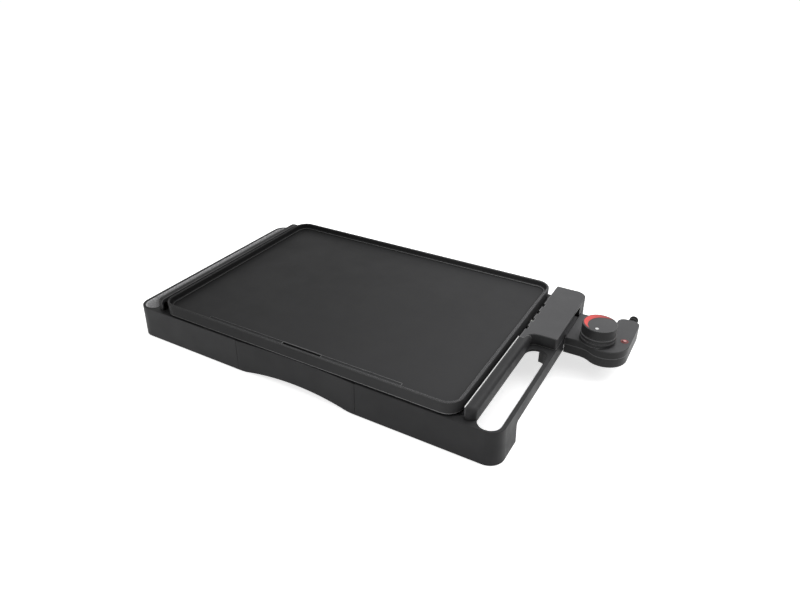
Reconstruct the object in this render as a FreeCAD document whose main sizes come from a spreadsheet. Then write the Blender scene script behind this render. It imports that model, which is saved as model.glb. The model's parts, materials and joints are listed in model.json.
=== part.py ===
"""Electric plancha griddle: moulded base, lift-off cast plate, grease drawer and plug-in thermostat.

Millimetres, +Z up. X runs along the long side and Y from front to back. The origin lies on the
surface that the griddle stands on, below the middle of the whole object, plugged thermostat included.
Inside each body X is counted from the middle of the base, and the body's placement moves it over.
"""
import FreeCAD, Part
import math
import operator
import os
import Sketcher

Vector = FreeCAD.Vector

# Driving sizes
SIZES = {
    # base moulding
    "base_length": 560,
    "base_width": 324,
    "base_height": 47,
    "base_corner": 18,
    "base_draft": 2,
    "base_wall": 2.8,
    "deck_thickness": 3,
    "foot_height": 0.9,
    "opening_side_border": 12.8,
    "opening_front_border": 14,
    "opening_corner": 12,
    "skirt_setback": 3.6,
    "skirt_thickness": 2.4,
    "rail_thickness": 4.7,
    "rail_bottom": 29,
    "slot_width": 28.8,
    "slot_end_gap": 3,
    "slot_collar": 2,
    "corner_foot_length": 52,
    "cutout_corner": 5,
    "overrun": 1,
    # end ridges
    "ridge_width": 11.7,
    "ridge_height": 16.5,
    "ridge_shoulder": 6,
    "ridge_end_gap": 7,
    "ridge_end_corner": 8,
    "ridge_wall": 3,
    # mains socket and its cover
    "cover_depth": 137,
    "cover_tongue_length": 16.5,
    "cover_tongue_width": 5.7,
    "cover_sweep": 15,
    "cover_back_corner": 15,
    "cover_front_corner": 2.5,
    "cover_wall": 2.5,
    "cover_edge": 0.8,
    "cover_screw_inset": 15,
    "cover_post": 4,
    "seam_gap": 0.15,
    "slot_to_cover": 9.5,
    "recess_setback": 70,
    "recess_width": 68,
    "recess_depth": 17,
    "recess_top": 2.6,
    "recess_floor_depth": 23,
    "notch_width": 9,
    "notch_depth": 2.4,
    "notch_drop": 5,
    "notch_pitch": 21.5,
    "notch_count": 4,
    # cooking plate
    "plate_side_gap": 7.4,
    "plate_front_gap": 1,
    "plate_corner": 20,
    "plate_top": 66.6,
    "plate_bottom": 50,
    "plate_rim": 3,
    "plate_rim_drop": 6.6,
    "plate_ledge": 4,
    "plate_ledge_drop": 2,
    "plate_thickness": 5,
    "plate_wall": 4,
    "plate_edge": 0.9,
    "plate_rib_height": 2,
    "plate_rib_width": 4,
    "plate_rib_setback": 30,
    "ledge_edge": 0.5,
    "gutter_length": 300,
    "gutter_width": 9,
    "gutter_depth": 0.5,
    "drain_length": 60,
    "drain_offset": 4.5,
    "drain_lip": 0.8,
    # steel reflector
    "sheet_thickness": 0.8,
    "reflector_side_gap": 1,
    "reflector_front_gap": 4.5,
    "reflector_depth": 12.6,
    "reflector_corner": 11,
    "flange_reach": 8,
    "flange_corner": 22,
    "upstand_thickness": 1,
    "upstand_gap": 0.3,
    "upstand_rise_right": 0.3,
    "upstand_fall_left": 5,
    "upstand_front_gap": 8.3,
    # heater and its terminals
    "heater_radius": 3.3,
    "heater_height": 39.8,
    "heater_left_gap": 30,
    "heater_right_gap": 36,
    "heater_turn_gap": 92,
    "heater_front_gap": 40,
    "heater_inner": 36,
    "heater_bend": 20,
    "heater_s_bend": 15,
    "heater_entry_gap": 0.3,
    "gate_gap": 1,
    "terminal_spacing": 24,
    "pin_radius": 2.4,
    "pin_setback": 4,
    "block_setback": 34,
    "block_depth": 10,
    "block_width": 52,
    "block_height": 13,
    "sleeve_setback": 75,
    "sleeve_radius": 4.3,
    "sleeve_bore": 3,
    "sleeve_end_wall": 1.5,
    "probe_radius": 2.8,
    "probe_end_gap": 4,
    "clip_length": 9,
    "clip_width": 12,
    "clip_grip": 1,
    "rest_length": 14,
    "rest_width": 5,
    "rest_spread": 150,
    # grease drawer
    "drawer_width": 187.5,
    "panel_gap": 0.4,
    "panel_thickness": 5,
    "panel_dish": 3,
    "panel_land": 4,
    "panel_drop": 0.2,
    "arch_length": 164,
    "arch_rise": 7.3,
    "arch_corner": 20,
    "tray_bottom": 10,
    "tray_height": 15.6,
    "tray_depth": 140,
    "tray_width": 178,
    "tray_wall": 1.6,
    "tray_flange": 2,
    "tray_corner": 8,
    "tray_edge": 1.2,
    "runner_gap": 0.3,
    "runner_web": 2.4,
    "runner_lip": 2.2,
    "runner_lip_thickness": 2,
    "runner_top": 29,
    "runner_top_lip": 1.2,
    "runner_ear": 8,
    "runner_ear_width": 9,
    "runner_ear_thickness": 2,
    # rubber and trim
    "foot_radius": 6,
    "foot_stem": 2.4,
    "foot_stem_length": 5,
    "foot_boss": 7,
    "foot_stem_room": 1,
    "foot_inset_x": 44,
    "foot_inset_y": 13,
    "pad_thickness": 0.8,
    "pad_margin": 0.5,
    "pad_fit": 0.05,
    "screw_radius": 1.5,
    "screw_head": 2.8,
    "screw_head_height": 1.5,
    "screw_bite": 6,
    "screw_bore_room": 1.5,
    "anchor_radius": 3.5,
    "screw_clearance": 0.06,
    "press_clearance": 0.02,
    "edge_round": 0.6,
    # thermostat housing
    "shell_gap": 1.1,
    "shell_top": 50.5,
    "shell_bottom": 27.2,
    "shell_seam": 40,
    "shell_wall": 1.8,
    "shell_edge": 0.8,
    "neck_reach_front": 35.8,
    "neck_reach_back": 34,
    "neck_length": 20.9,
    "head_reach_front": 45,
    "shell_length": 78.4,
    "head_reach_back": 49.5,
    "head_corner": 29,
    "head_back_corner": 8.5,
    "head_length": 28.5,
    "head_shoulder_corner": 10,
    "nose_setback": 16,
    "nose_width": 56,
    "nose_height": 16,
    "nose_bottom": 32,
    "nose_corner": 3,
    "nose_flange": 2.6,
    "nose_flange_step": 1.5,
    "nose_fit": 0.1,
    "socket_wall": 0.8,
    "socket_fit": 0.06,
    "socket_setback": 2,
    "socket_length": 28,
    "unit_setback": 18.9,
    "unit_length": 38,
    "unit_reach_front": 31.5,
    "unit_width": 40,
    "unit_height": 15,
    "post_radius": 3,
    "post_room": 0.5,
    "neck_screw_x": 11,
    "neck_screw_y": 6.3,
    "head_screw_x": 13,
    "head_screw_y": 11.5,
    "shoulder_screw_x": 6.5,
    "shoulder_screw_y": 10.5,
    "sink_gap": 0.3,
    "shell_screw_head": 2.3,
    "lamp_setback": 8.2,
    "lamp_offset": 7.9,
    "lamp_radius": 2.2,
    "lamp_length": 10,
    "lamp_gap": 1,
    "lamp_seat_rim": 0.6,
    "lens_radius": 3.2,
    "lens_stem": 1.8,
    "lens_height": 1.4,
    "lens_stem_end": 0.7,
    "gland_setback": 12,
    "gland_radius": 6.6,
    "gland_tip_radius": 6.2,
    "gland_neck": 4.5,
    "gland_bore": 3.4,
    "gland_length": 21.4,
    "gland_collar": 2,
    "gland_collar_step": 0.7,
    "gland_seat": 0.3,
    "gland_fit": 0.05,
    "gland_groove": 0.8,
    "gland_ring_width": 3.4,
    "gland_rings": 4,
    "clamp_inset": 19.5,
    "clamp_pitch": 12,
    "clamp_post": 2.6,
    "clamp_screw": 1.2,
    "clamp_screw_head": 2.2,
    "clamp_length": 18,
    "clamp_width": 7,
    "clamp_thickness": 3,
    # dial
    "knob_setback": 40,
    "knob_offset": 21.3,
    "knob_radius": 22.1,
    "knob_top": 76,
    "knob_step": 62.5,
    "knob_skirt": 22.9,
    "knob_gap": 0.6,
    "knob_wall": 2.2,
    "knob_edge": 0.6,
    "knob_hub": 7,
    "knob_hub_rise": 1.4,
    "knob_crown": 4,
    "bore_end_gap": 0.9,
    "shaft_hole_gap": 0.3,
    "shaft_radius": 3,
    "shaft_fit": 0.06,
    "shaft_flat": 2.2,
    "shaft_bottom": 36,
    "shaft_top": 70,
    "mark_height": 0.2,
    "mark_radius": 20.9,
    "mark_width": 8.2,
    "mark_angle": 147,
    "dot_radius": 2.2,
    "dot_distance": 15.2,
}

doc = FreeCAD.newDocument("PlanchaGriddle")
sheet = doc.addObject("Spreadsheet::Sheet", "Sizes")
for row, (alias, number) in enumerate(SIZES.items(), start=1):
    sheet.set("A%d" % row, alias)
    sheet.set("B%d" % row, str(number))
    sheet.setAlias("B%d" % row, alias)
places = doc.addObject("Spreadsheet::Sheet", "Places")
doc.recompute()

OPERATIONS = {"+": operator.add, "-": operator.sub, "*": operator.mul, "/": operator.truediv}


class Size:
    """A value that is kept both as a sheet expression and as its present number."""

    def __init__(self, text, number):
        self.text = text
        self.number = number

    def __add__(self, other):
        return joined(self, "+", other)

    def __radd__(self, other):
        return joined(other, "+", self)

    def __sub__(self, other):
        return joined(self, "-", other)

    def __rsub__(self, other):
        return joined(other, "-", self)

    def __mul__(self, other):
        return joined(self, "*", other)

    def __rmul__(self, other):
        return joined(other, "*", self)

    def __truediv__(self, other):
        return joined(self, "/", other)

    def __neg__(self):
        return joined(0, "-", self)


def text_of(value):
    return value.text if isinstance(value, Size) else repr(value)


def number_of(value):
    return value.number if isinstance(value, Size) else float(value)


def joined(first, sign, second):
    text = "(%s %s %s)" % (text_of(first), sign, text_of(second))
    return Size(text, OPERATIONS[sign](number_of(first), number_of(second)))


def tangent(angle):
    return Size("tan(%s)" % text_of(angle), math.tan(math.radians(number_of(angle))))


def root(value):
    return Size("sqrt(%s)" % text_of(value), math.sqrt(number_of(value)))


def least(first, second):
    text = "min(%s; %s)" % (text_of(first), text_of(second))
    return Size(text, min(number_of(first), number_of(second)))


def place(alias, value):
    """Keep a worked-out value in the second sheet, under its own name."""
    place.row += 1
    places.set("A%d" % place.row, alias)
    places.set("B%d" % place.row, "=" + value.text)
    places.setAlias("B%d" % place.row, alias)
    return Size("Places." + alias, value.number)


place.row = 0


class SheetReader:
    """Reads a driving size by its alias."""

    def __getattr__(self, alias):
        return Size("Sizes." + alias, float(getattr(sheet, alias)))


s = SheetReader()

# Places worked out from the driving sizes
half_x = place("half_x", s.base_length / 2)
half_y = place("half_y", s.base_width / 2)
deck_under = place("deck_under", s.base_height - s.deck_thickness)
flare = place("flare", (s.base_height - s.foot_height) * tangent(s.base_draft))
shell_start = place("shell_start", half_x + s.shell_gap)
head_end = place("head_end", shell_start + s.shell_length)
center_x = place("center_x", (half_x + flare - head_end) / 2)
slot_outer = place("slot_outer", half_x - s.rail_thickness)
slot_inner = place("slot_inner", slot_outer - s.slot_width)
slot_near = place("slot_near", s.slot_end_gap - half_y)
cover_front = place("cover_front", half_y - s.cover_depth)
cover_tongue = place("cover_tongue", cover_front - s.cover_tongue_length)
slot_far_right = place("slot_far_right", cover_front - s.slot_to_cover)
ridge_inner = place("ridge_inner", slot_inner - s.ridge_width)
ridge_top = place("ridge_top", s.base_height + s.ridge_height)
ridge_near = place("ridge_near", s.ridge_end_gap - half_y)
opening_x = place("opening_x", ridge_inner - s.opening_side_border)
opening_y = place("opening_y", half_y - s.opening_front_border)
skirt_x = place("skirt_x", opening_x + s.skirt_setback + s.skirt_thickness)
skirt_y = place("skirt_y", opening_y + s.skirt_setback + s.skirt_thickness)
cutout_y = place("cutout_y", half_y - s.corner_foot_length)
tongue_x = place("tongue_x", ridge_inner + s.cover_tongue_width)
sweep_x = place("sweep_x", tongue_x + s.cover_sweep)
sweep_y = place("sweep_y", cover_front - s.cover_sweep)
recess_center = place("recess_center", half_y - s.recess_setback)
recess_front = place("recess_front", recess_center - s.recess_width / 2)
recess_back = place("recess_back", recess_center + s.recess_width / 2)
recess_floor = place("recess_floor", half_x - s.recess_floor_depth)
plate_x = place("plate_x", ridge_inner - s.plate_side_gap)
plate_y = place("plate_y", half_y - s.plate_front_gap)
ledge_z = place("ledge_z", s.plate_top - s.plate_rim_drop)
cook_z = place("cook_z", ledge_z - s.plate_ledge_drop)
plate_under = place("plate_under", cook_z - s.plate_thickness)
gutter_front = place("gutter_front", s.plate_rim + s.plate_ledge - plate_y)
gutter_back = place("gutter_back", gutter_front + s.gutter_width)
drain_front = place("drain_front", s.drain_lip + gutter_front)
pan_x = place("pan_x", opening_x - s.reflector_side_gap)
pan_y = place("pan_y", opening_y - s.reflector_side_gap)
pan_front = place("pan_front", s.reflector_front_gap - opening_y)
pan_floor = place("pan_floor", s.base_height - s.reflector_depth)
flange_x = place("flange_x", ridge_inner - s.upstand_gap)
flange_y = place("flange_y", opening_y + s.flange_reach)
flange_top = place("flange_top", s.base_height + s.sheet_thickness)
heater_left = place("heater_left", opening_x - s.heater_left_gap)
heater_right = place("heater_right", opening_x - s.heater_right_gap)
heater_turn = place("heater_turn", opening_x - s.heater_turn_gap)
heater_outer = place("heater_outer", opening_y - s.heater_front_gap)
pin_end = place("pin_end", half_x - s.pin_setback)
block_start = place("block_start", half_x - s.block_setback)
sleeve_start = place("sleeve_start", half_x - s.sleeve_setback)
probe_start = place("probe_start", sleeve_start + s.probe_end_gap)
foot_x = place("foot_x", half_x - s.foot_inset_x)
foot_y = place("foot_y", half_y - s.foot_inset_y)
neck_front = place("neck_front", recess_center - s.neck_reach_front)
neck_back = place("neck_back", recess_center + s.neck_reach_back)
head_front = place("head_front", recess_center - s.head_reach_front)
head_back = place("head_back", recess_center + s.head_reach_back)
head_shoulder = place("head_shoulder", head_end - s.head_length)
nose_start = place("nose_start", half_x - s.nose_setback)
socket_start = place("socket_start", nose_start + s.socket_setback)
socket_end = place("socket_end", socket_start + s.socket_length)
unit_start = place("unit_start", shell_start + s.unit_setback)
unit_front = place("unit_front", recess_center - s.unit_reach_front)
lamp_x = place("lamp_x", head_end - s.lamp_setback)
lamp_y = place("lamp_y", recess_center - s.lamp_offset)
gland_x = place("gland_x", head_end - s.gland_setback)
gland_end = place("gland_end", head_back + s.gland_length)
knob_x = place("knob_x", head_end - s.knob_setback)
knob_y = place("knob_y", recess_center - s.knob_offset)
heater_back = place("heater_back", recess_center + s.terminal_spacing / 2)
heater_front = place("heater_front", recess_center - s.terminal_spacing / 2)
block_front = place("block_front", recess_center - s.block_width / 2)
drawer_half = place("drawer_half", s.drawer_width / 2)
panel_back = place("panel_back", s.panel_thickness - half_y)
tray_half = place("tray_half", s.tray_width / 2)
tray_top = place("tray_top", s.tray_bottom + s.tray_height)
runner_web_x = place("runner_web_x", drawer_half - s.panel_gap)
runner_end = place("runner_end", half_y - s.base_wall - s.overrun)
runner_lip_top = place("runner_lip_top", tray_top - s.tray_flange - s.runner_gap)
rail_mid = place("rail_mid", half_x - s.base_wall / 2)
shell_deep = place("shell_deep", s.shell_bottom + s.shell_wall)
nose_top = place("nose_top", s.nose_bottom + s.nose_height)
nose_front = place("nose_front", recess_center - s.nose_width / 2)
unit_top = place("unit_top", shell_deep + s.unit_height)
knob_bottom = place("knob_bottom", s.shell_top + s.knob_gap)
pin_room = place("pin_room", s.pin_radius + s.socket_fit)
socket_half = place("socket_half", pin_room + s.socket_wall)
lamp_seat = place("lamp_seat", s.shell_top - s.shell_wall - s.lamp_gap - s.lamp_length)
clamp_seat = place("clamp_seat", s.shell_seam + s.gland_bore)
sink_top = place("sink_top", s.shell_bottom + s.screw_head_height + s.sink_gap)
doc.recompute()

# Sides of the polygons that stand in for the small circles of fasteners, tubes and rings
SIDES = 6
TUBE_SIDES = 8
RING_SIDES = 12
# The most of a flat edge that a rounded corner may take up
EDGE_SHARE = 0.9


# Document helpers
def bind(item, name, value):
    """Set a property from a plain number, or tie it to the sheets."""
    if isinstance(value, Size):
        item.setExpression(name, value.text)
    else:
        item.setExpression(name, repr(value))


def body(label):
    item = doc.addObject("PartDesign::Body", label)
    item.Label = label
    item.AllowCompound = True
    bind(item, "Placement.Base.x", center_x)
    return item


def origin(owner, role):
    return next(item for item in owner.Origin.OriginFeatures if item.Role == role)


def sketch(owner, plane, offset=0):
    """A sketch on one of the body's own planes: XY looks up, XZ to the front and YZ to the right."""
    item = owner.newObject("Sketcher::SketchObject", "Sketch")
    item.AttachmentSupport = [(origin(owner, plane + "_Plane"), "")]
    item.MapMode = "FlatFace"
    bind(item, "AttachmentOffset.Base.z", offset)
    return item


def tie(item, kind, geometry, point, value):
    index = item.addConstraint(Sketcher.Constraint(kind, geometry, point, number_of(value)))
    if isinstance(value, Size):
        item.setExpression("Constraints[%d]" % index, value.text)


def spot(point):
    return Vector(number_of(point[0]), number_of(point[1]), 0)


def outline(item, points, closed=True):
    """Draw from point to point. A point of four values is reached on an arc about its last two."""
    start, middle, end = 1, 3, 2
    chain = []
    for index, point in enumerate(points):
        if index == 0 and not closed:
            continue
        first = spot(points[index - 1])
        last = spot(point)
        if len(point) == 2:
            edge = item.addGeometry(Part.LineSegment(first, last), False)
            chain.append((edge, start, end, point))
            continue
        centre = spot(point[2:])
        ahead = (first - centre).cross(last - centre).z > 0
        low, high = (first, last) if ahead else (last, first)
        turns = [math.atan2(corner.y - centre.y, corner.x - centre.x) for corner in (low, high)]
        if turns[1] < turns[0]:
            turns[1] += 2 * math.pi
        circle = Part.Circle(centre, Vector(0, 0, 1), (first - centre).Length)
        edge = item.addGeometry(Part.ArcOfCircle(circle, *turns), False)
        chain.append((edge, start, end, point) if ahead else (edge, end, start, point))
    for index, (edge, head, tail, point) in enumerate(chain):
        tie(item, "DistanceX", edge, tail, point[0])
        tie(item, "DistanceY", edge, tail, point[1])
        if closed or index:
            previous = chain[index - 1]
            item.addConstraint(Sketcher.Constraint("Coincident", previous[0], previous[2], edge, head))
        else:
            tie(item, "DistanceX", edge, head, points[0][0])
            tie(item, "DistanceY", edge, head, points[0][1])
    for index, (edge, head, tail, point) in enumerate(chain):
        if len(point) == 4:
            before = points[index - 1] if closed else points[index]
            chord = spot(point) - spot(before)
            if abs(chord.x) > abs(chord.y):
                tie(item, "DistanceY", edge, middle, point[3])
            else:
                tie(item, "DistanceX", edge, middle, point[2])


def span(side, near_end, far_end):
    """The two ends of a stretch on the right (1) or the left (-1), lower one first."""
    return (near_end, far_end) if side > 0 else (-far_end, -near_end)


def rectangle(item, x0, y0, x1, y1):
    outline(item, [(x1, y0), (x1, y1), (x0, y1), (x0, y0)])


def rounded(item, x0, y0, x1, y1, radius):
    outline(item, [
        (x1 - radius, y0),
        (x1, y0 + radius, x1 - radius, y0 + radius),
        (x1, y1 - radius),
        (x1 - radius, y1, x1 - radius, y1 - radius),
        (x0 + radius, y1),
        (x0, y1 - radius, x0 + radius, y1 - radius),
        (x0, y0 + radius),
        (x0 + radius, y0, x0 + radius, y0 + radius),
    ])


def bevelled(item, x0, y0, x1, y1, radius):
    """A rectangle whose corners are cut along tangents to the circles of the given radius."""
    cut = radius * (2 - root(Size("2", 2)))
    outline(item, [
        (x1 - cut, y0),
        (x1, y0 + cut),
        (x1, y1 - cut),
        (x1 - cut, y1),
        (x0 + cut, y1),
        (x0, y1 - cut),
        (x0, y0 + cut),
        (x0 + cut, y0),
    ])


def slot(item, x0, y0, x1, y1):
    """A slot along Y with fully round ends."""
    radius = (x1 - x0) / 2
    middle = (x1 + x0) / 2
    outline(item, [
        (x1, y1 - radius),
        (middle, y1, middle, y1 - radius),
        (x0, y1 - radius, middle, y1 - radius),
        (x0, y0 + radius),
        (middle, y0, middle, y0 + radius),
        (x1, y0 + radius, middle, y0 + radius),
    ])


def circle(item, x, y, radius):
    edge = item.addGeometry(Part.Circle(spot((x, y)), Vector(0, 0, 1), number_of(radius)), False)
    tie(item, "DistanceX", edge, 3, x)
    tie(item, "DistanceY", edge, 3, y)
    index = item.addConstraint(Sketcher.Constraint("Radius", edge, number_of(radius)))
    if isinstance(radius, Size):
        item.setExpression("Constraints[%d]" % index, radius.text)


def facets(item, x, y, radius, sides=SIDES):
    """A regular polygon with its corners on the circle and a flat side down."""
    step = 2 * math.pi / sides
    turns = [index * step - (math.pi + step) / 2 for index in range(sides)]
    outline(item, [(x + radius * math.cos(turn), y + radius * math.sin(turn)) for turn in turns])


def around(radius, sides=SIDES):
    """Corner radius of the polygon that a circle of this radius just fits in."""
    return radius / math.cos(math.pi / sides)


def liner(item, side, low, high, outer, thickness):
    """A C along a hand slot's rail and round both of its ends."""
    inner = outer - thickness
    middle = side * (slot_inner + slot_outer) / 2
    near_y = low + s.slot_width / 2
    far_y = high - s.slot_width / 2
    outline(item, [
        (middle, near_y - outer),
        (middle + side * outer, near_y, middle, near_y),
        (middle + side * outer, far_y),
        (middle, far_y + outer, middle, far_y),
        (middle, far_y + inner),
        (middle + side * inner, far_y, middle, far_y),
        (middle + side * inner, near_y),
        (middle, near_y - inner, middle, near_y),
    ])


def slot_ends():
    """Side and the two ends of each hand slot."""
    return [(1, slot_near, slot_far_right), (-1, slot_near, -slot_near)]


def feature(owner, kind, profile, **settings):
    item = owner.newObject("PartDesign::" + kind, kind)
    item.Profile = profile
    for name, value in settings.items():
        if isinstance(value, (bool, str)):
            setattr(item, name, value)
        else:
            bind(item, name, value)
    profile.Visibility = False
    return item


def pad(owner, profile, length, down=False, taper=0):
    return feature(owner, "Pad", profile, Length=length, Reversed=down, TaperAngle=taper)


def pocket(owner, profile, length, up=False, taper=0):
    return feature(owner, "Pocket", profile, Length=length, Reversed=up, TaperAngle=taper)


def round_edges(owner, radius, chosen, kind="Fillet"):
    """Round the edges of the body's last feature that the given test picks."""
    doc.recompute()
    last = owner.Tip
    names = ["Edge%d" % (index + 1) for index, edge in enumerate(last.Shape.Edges) if chosen(edge)]
    if not names:
        raise RuntimeError("no edge to round on " + owner.Label)
    item = owner.newObject("PartDesign::" + kind, kind)
    item.Base = (last, names)
    bind(item, "Radius" if kind == "Fillet" else "Size", radius)
    return item


def near(first, second):
    return abs(first - number_of(second)) < 0.01


def level(edge, z):
    """True for an edge that lies flat at the height z."""
    box = edge.BoundBox
    return near(box.ZMin, z) and near(box.ZMax, z)


# Base
def base_frame():
    base = body("base_frame")
    block = sketch(base, "XY", s.base_height)
    rounded(block, -half_x, -half_y, half_x, half_y, s.base_corner)
    pad(base, block, s.base_height - s.foot_height, down=True, taper=s.base_draft)

    # hollow from below, with the walls parallel to the drafted outside
    hollow = sketch(base, "XY", deck_under)
    inner_x = half_x - s.base_wall + s.deck_thickness * tangent(s.base_draft)
    inner_y = half_y - s.base_wall + s.deck_thickness * tangent(s.base_draft)
    bevelled(hollow, -inner_x, -inner_y, inner_x, inner_y, s.base_corner - s.base_wall)
    pocket(base, hollow, s.base_height, taper=s.base_draft)

    opening = sketch(base, "XY", s.base_height)
    rounded(opening, -opening_x, -opening_y, opening_x, opening_y, s.opening_corner)
    pocket(base, opening, s.base_height)

    # stiffening skirt round the opening, foot bosses and rail linings
    skirt = sketch(base, "XY", deck_under)
    corner = s.opening_corner + s.skirt_setback
    bevelled(skirt, -skirt_x, -skirt_y, skirt_x, skirt_y, corner + s.skirt_thickness)
    in_x = skirt_x - s.skirt_thickness
    in_y = skirt_y - s.skirt_thickness
    bevelled(skirt, -in_x, -in_y, in_x, in_y, corner)
    pad(base, skirt, deck_under - s.rail_bottom, down=True)
    lining = sketch(base, "XY", deck_under)
    for side in (-1, 1):
        low, high = span(side, slot_outer, rail_mid)
        rectangle(lining, low, s.base_corner - half_y, high, half_y - s.base_corner)
    pad(base, lining, deck_under - s.rail_bottom, down=True)
    collars = sketch(base, "XY", deck_under)
    for side, low, high in slot_ends():
        liner(collars, side, low, high, s.slot_width / 2 + s.slot_collar, s.slot_collar)
    pad(base, collars, deck_under - s.rail_bottom, down=True)
    bosses = sketch(base, "XY", deck_under)
    for side in (-1, 1):
        for end in (-1, 1):
            facets(bosses, side * foot_x, end * foot_y, s.foot_boss)
    pad(base, bosses, deck_under - s.foot_height, down=True)
    anchors = sketch(base, "XY", deck_under)
    for x, y in runner_screw_places():
        facets(anchors, x, y, s.anchor_radius)
    pad(base, anchors, deck_under - s.rail_bottom, down=True)

    # end ridges, rounded along the outer shoulder and over the free ends
    ridges = sketch(base, "XY", s.base_height)
    corner = s.ridge_end_corner
    gap = s.seam_gap
    reach = s.cover_sweep - gap
    rise = root(reach * reach - (sweep_x - slot_inner) * (sweep_x - slot_inner))
    outline(ridges, [
        (slot_inner - corner, ridge_near),
        (slot_inner, ridge_near + corner, slot_inner - corner, ridge_near + corner),
        (slot_inner, sweep_y + rise),
        (sweep_x - reach, sweep_y, sweep_x, sweep_y),
        (sweep_x - reach, cover_tongue - gap),
        (ridge_inner, cover_tongue - gap),
        (ridge_inner, ridge_near),
    ])
    outline(ridges, [
        (-ridge_inner, ridge_near),
        (-ridge_inner, -ridge_near),
        (corner - slot_inner, -ridge_near),
        (-slot_inner, -ridge_near - corner, corner - slot_inner, -ridge_near - corner),
        (-slot_inner, ridge_near + corner),
        (corner - slot_inner, ridge_near, corner - slot_inner, ridge_near + corner),
    ])
    pad(base, ridges, s.ridge_height)

    def shoulder(edge):
        box = edge.BoundBox
        straight = near(box.XMin, box.XMax)
        outside = straight and (near(box.XMin, slot_inner) or near(box.XMax, -slot_inner))
        end = not straight and (near(box.YMin, ridge_near) or near(box.YMax, -ridge_near))
        return level(edge, ridge_top) and (outside or end)

    round_edges(base, s.ridge_shoulder, shoulder)
    core = sketch(base, "XY", deck_under)
    for side in (-1, 1):
        low, high = span(side, ridge_inner + s.ridge_wall, slot_inner - s.ridge_wall)
        far = cover_tongue - s.ridge_wall if side > 0 else -ridge_near - s.ridge_shoulder
        rectangle(core, low, ridge_near + s.ridge_shoulder, high, far)
    pocket(base, core, s.deck_thickness + s.ridge_height - s.ridge_wall, up=True)

    # hand slots through the deck, and the arches below the hand rails
    slots = sketch(base, "XY", s.base_height)
    for side, low, high in slot_ends():
        left, right = span(side, slot_inner, slot_outer)
        slot(slots, left, low, right, high)
    pocket(base, slots, s.deck_thickness + s.overrun)
    arch = sketch(base, "YZ", -half_x - flare - s.overrun)
    radius = s.cutout_corner
    outline(arch, [
        (cutout_y, -radius),
        (cutout_y, s.rail_bottom - radius),
        (cutout_y - radius, s.rail_bottom, cutout_y - radius, s.rail_bottom - radius),
        (radius - cutout_y, s.rail_bottom),
        (-cutout_y, s.rail_bottom - radius, radius - cutout_y, s.rail_bottom - radius),
        (-cutout_y, -radius),
    ])
    pocket(base, arch, s.base_length + 2 * (flare + s.overrun), up=True)

    # drawer opening through the front wall and the edge of the deck
    drawer = sketch(base, "XY", s.base_height)
    rectangle(drawer, -drawer_half, -half_y - flare - s.overrun, drawer_half, panel_back + s.panel_gap)
    pocket(base, drawer, s.base_height)

    # drain gap from the deck's opening to the drawer's
    drain = sketch(base, "XY", s.base_height)
    reach = s.drain_length / 2 + s.base_wall
    rectangle(drain, s.drain_offset - reach, panel_back, s.drain_offset + reach, s.overrun - opening_y)
    pocket(base, drain, s.base_height - s.rail_bottom + s.overrun)

    # mains socket: room for the thermostat's nose, and a gap in the skirt for the heater's ends
    socket = sketch(base, "XY", s.base_height)
    rectangle(socket, recess_floor, recess_front, half_x + flare, recess_back)
    pocket(base, socket, s.base_height - s.rail_bottom)
    gate = sketch(base, "YZ", skirt_x - s.skirt_thickness - s.overrun)
    reach = s.terminal_spacing / 2 + s.heater_radius + s.gate_gap
    rectangle(gate, recess_center - reach, s.rail_bottom - s.overrun, recess_center + reach, deck_under)
    pocket(base, gate, s.skirt_thickness + 2 * s.overrun, up=True)

    holes = sketch(base, "XY", s.foot_height)
    for side in (-1, 1):
        for end in (-1, 1):
            facets(holes, side * foot_x, end * foot_y, s.foot_stem + s.shaft_fit)
    pocket(base, holes, s.foot_stem_length + s.foot_stem_room, up=True)
    threads = sketch(base, "XY", s.base_height)
    for x, y in flange_screws():
        facets(threads, x, y, s.screw_radius + s.shaft_fit)
    for x, y in cover_screw_places():
        facets(threads, x, y, s.screw_radius + s.shaft_fit)
    pocket(base, threads, s.deck_thickness)

    sockets = sketch(base, "XY", s.rail_bottom)
    for x, y in runner_screw_places():
        facets(sockets, x, y, s.screw_radius + s.press_clearance)
    pocket(base, sockets, s.screw_bite + s.screw_bore_room, up=True)

    def top_rim(edge):
        box = edge.BoundBox
        on_end = max(abs(box.XMin), abs(box.XMax)) > number_of(half_x) - 0.01
        on_front = near(box.YMin, -half_y) or near(box.YMax, half_y)
        return level(edge, s.base_height) and (on_end or on_front)

    round_edges(base, s.edge_round, top_rim, "Chamfer")
    return base


def runner_screw_places():
    x = runner_web_x + s.runner_web + s.runner_ear / 2
    y = skirt_y - s.skirt_thickness / 2
    return [(side * x, end * y) for side in (-1, 1) for end in (-1, 1)]


def flange_screws():
    """Places of the screws that hold the reflector on the deck, under the plate's rim."""
    x = (opening_x + flange_x) / 2
    return [(side * x, end * s.rest_spread / 2) for side in (-1, 1) for end in (-1, 1)]


def cover_screw_places():
    x = (slot_inner + recess_floor) / 2
    return [(x, cover_front + s.cover_screw_inset), (x, half_y - s.cover_screw_inset)]


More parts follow.
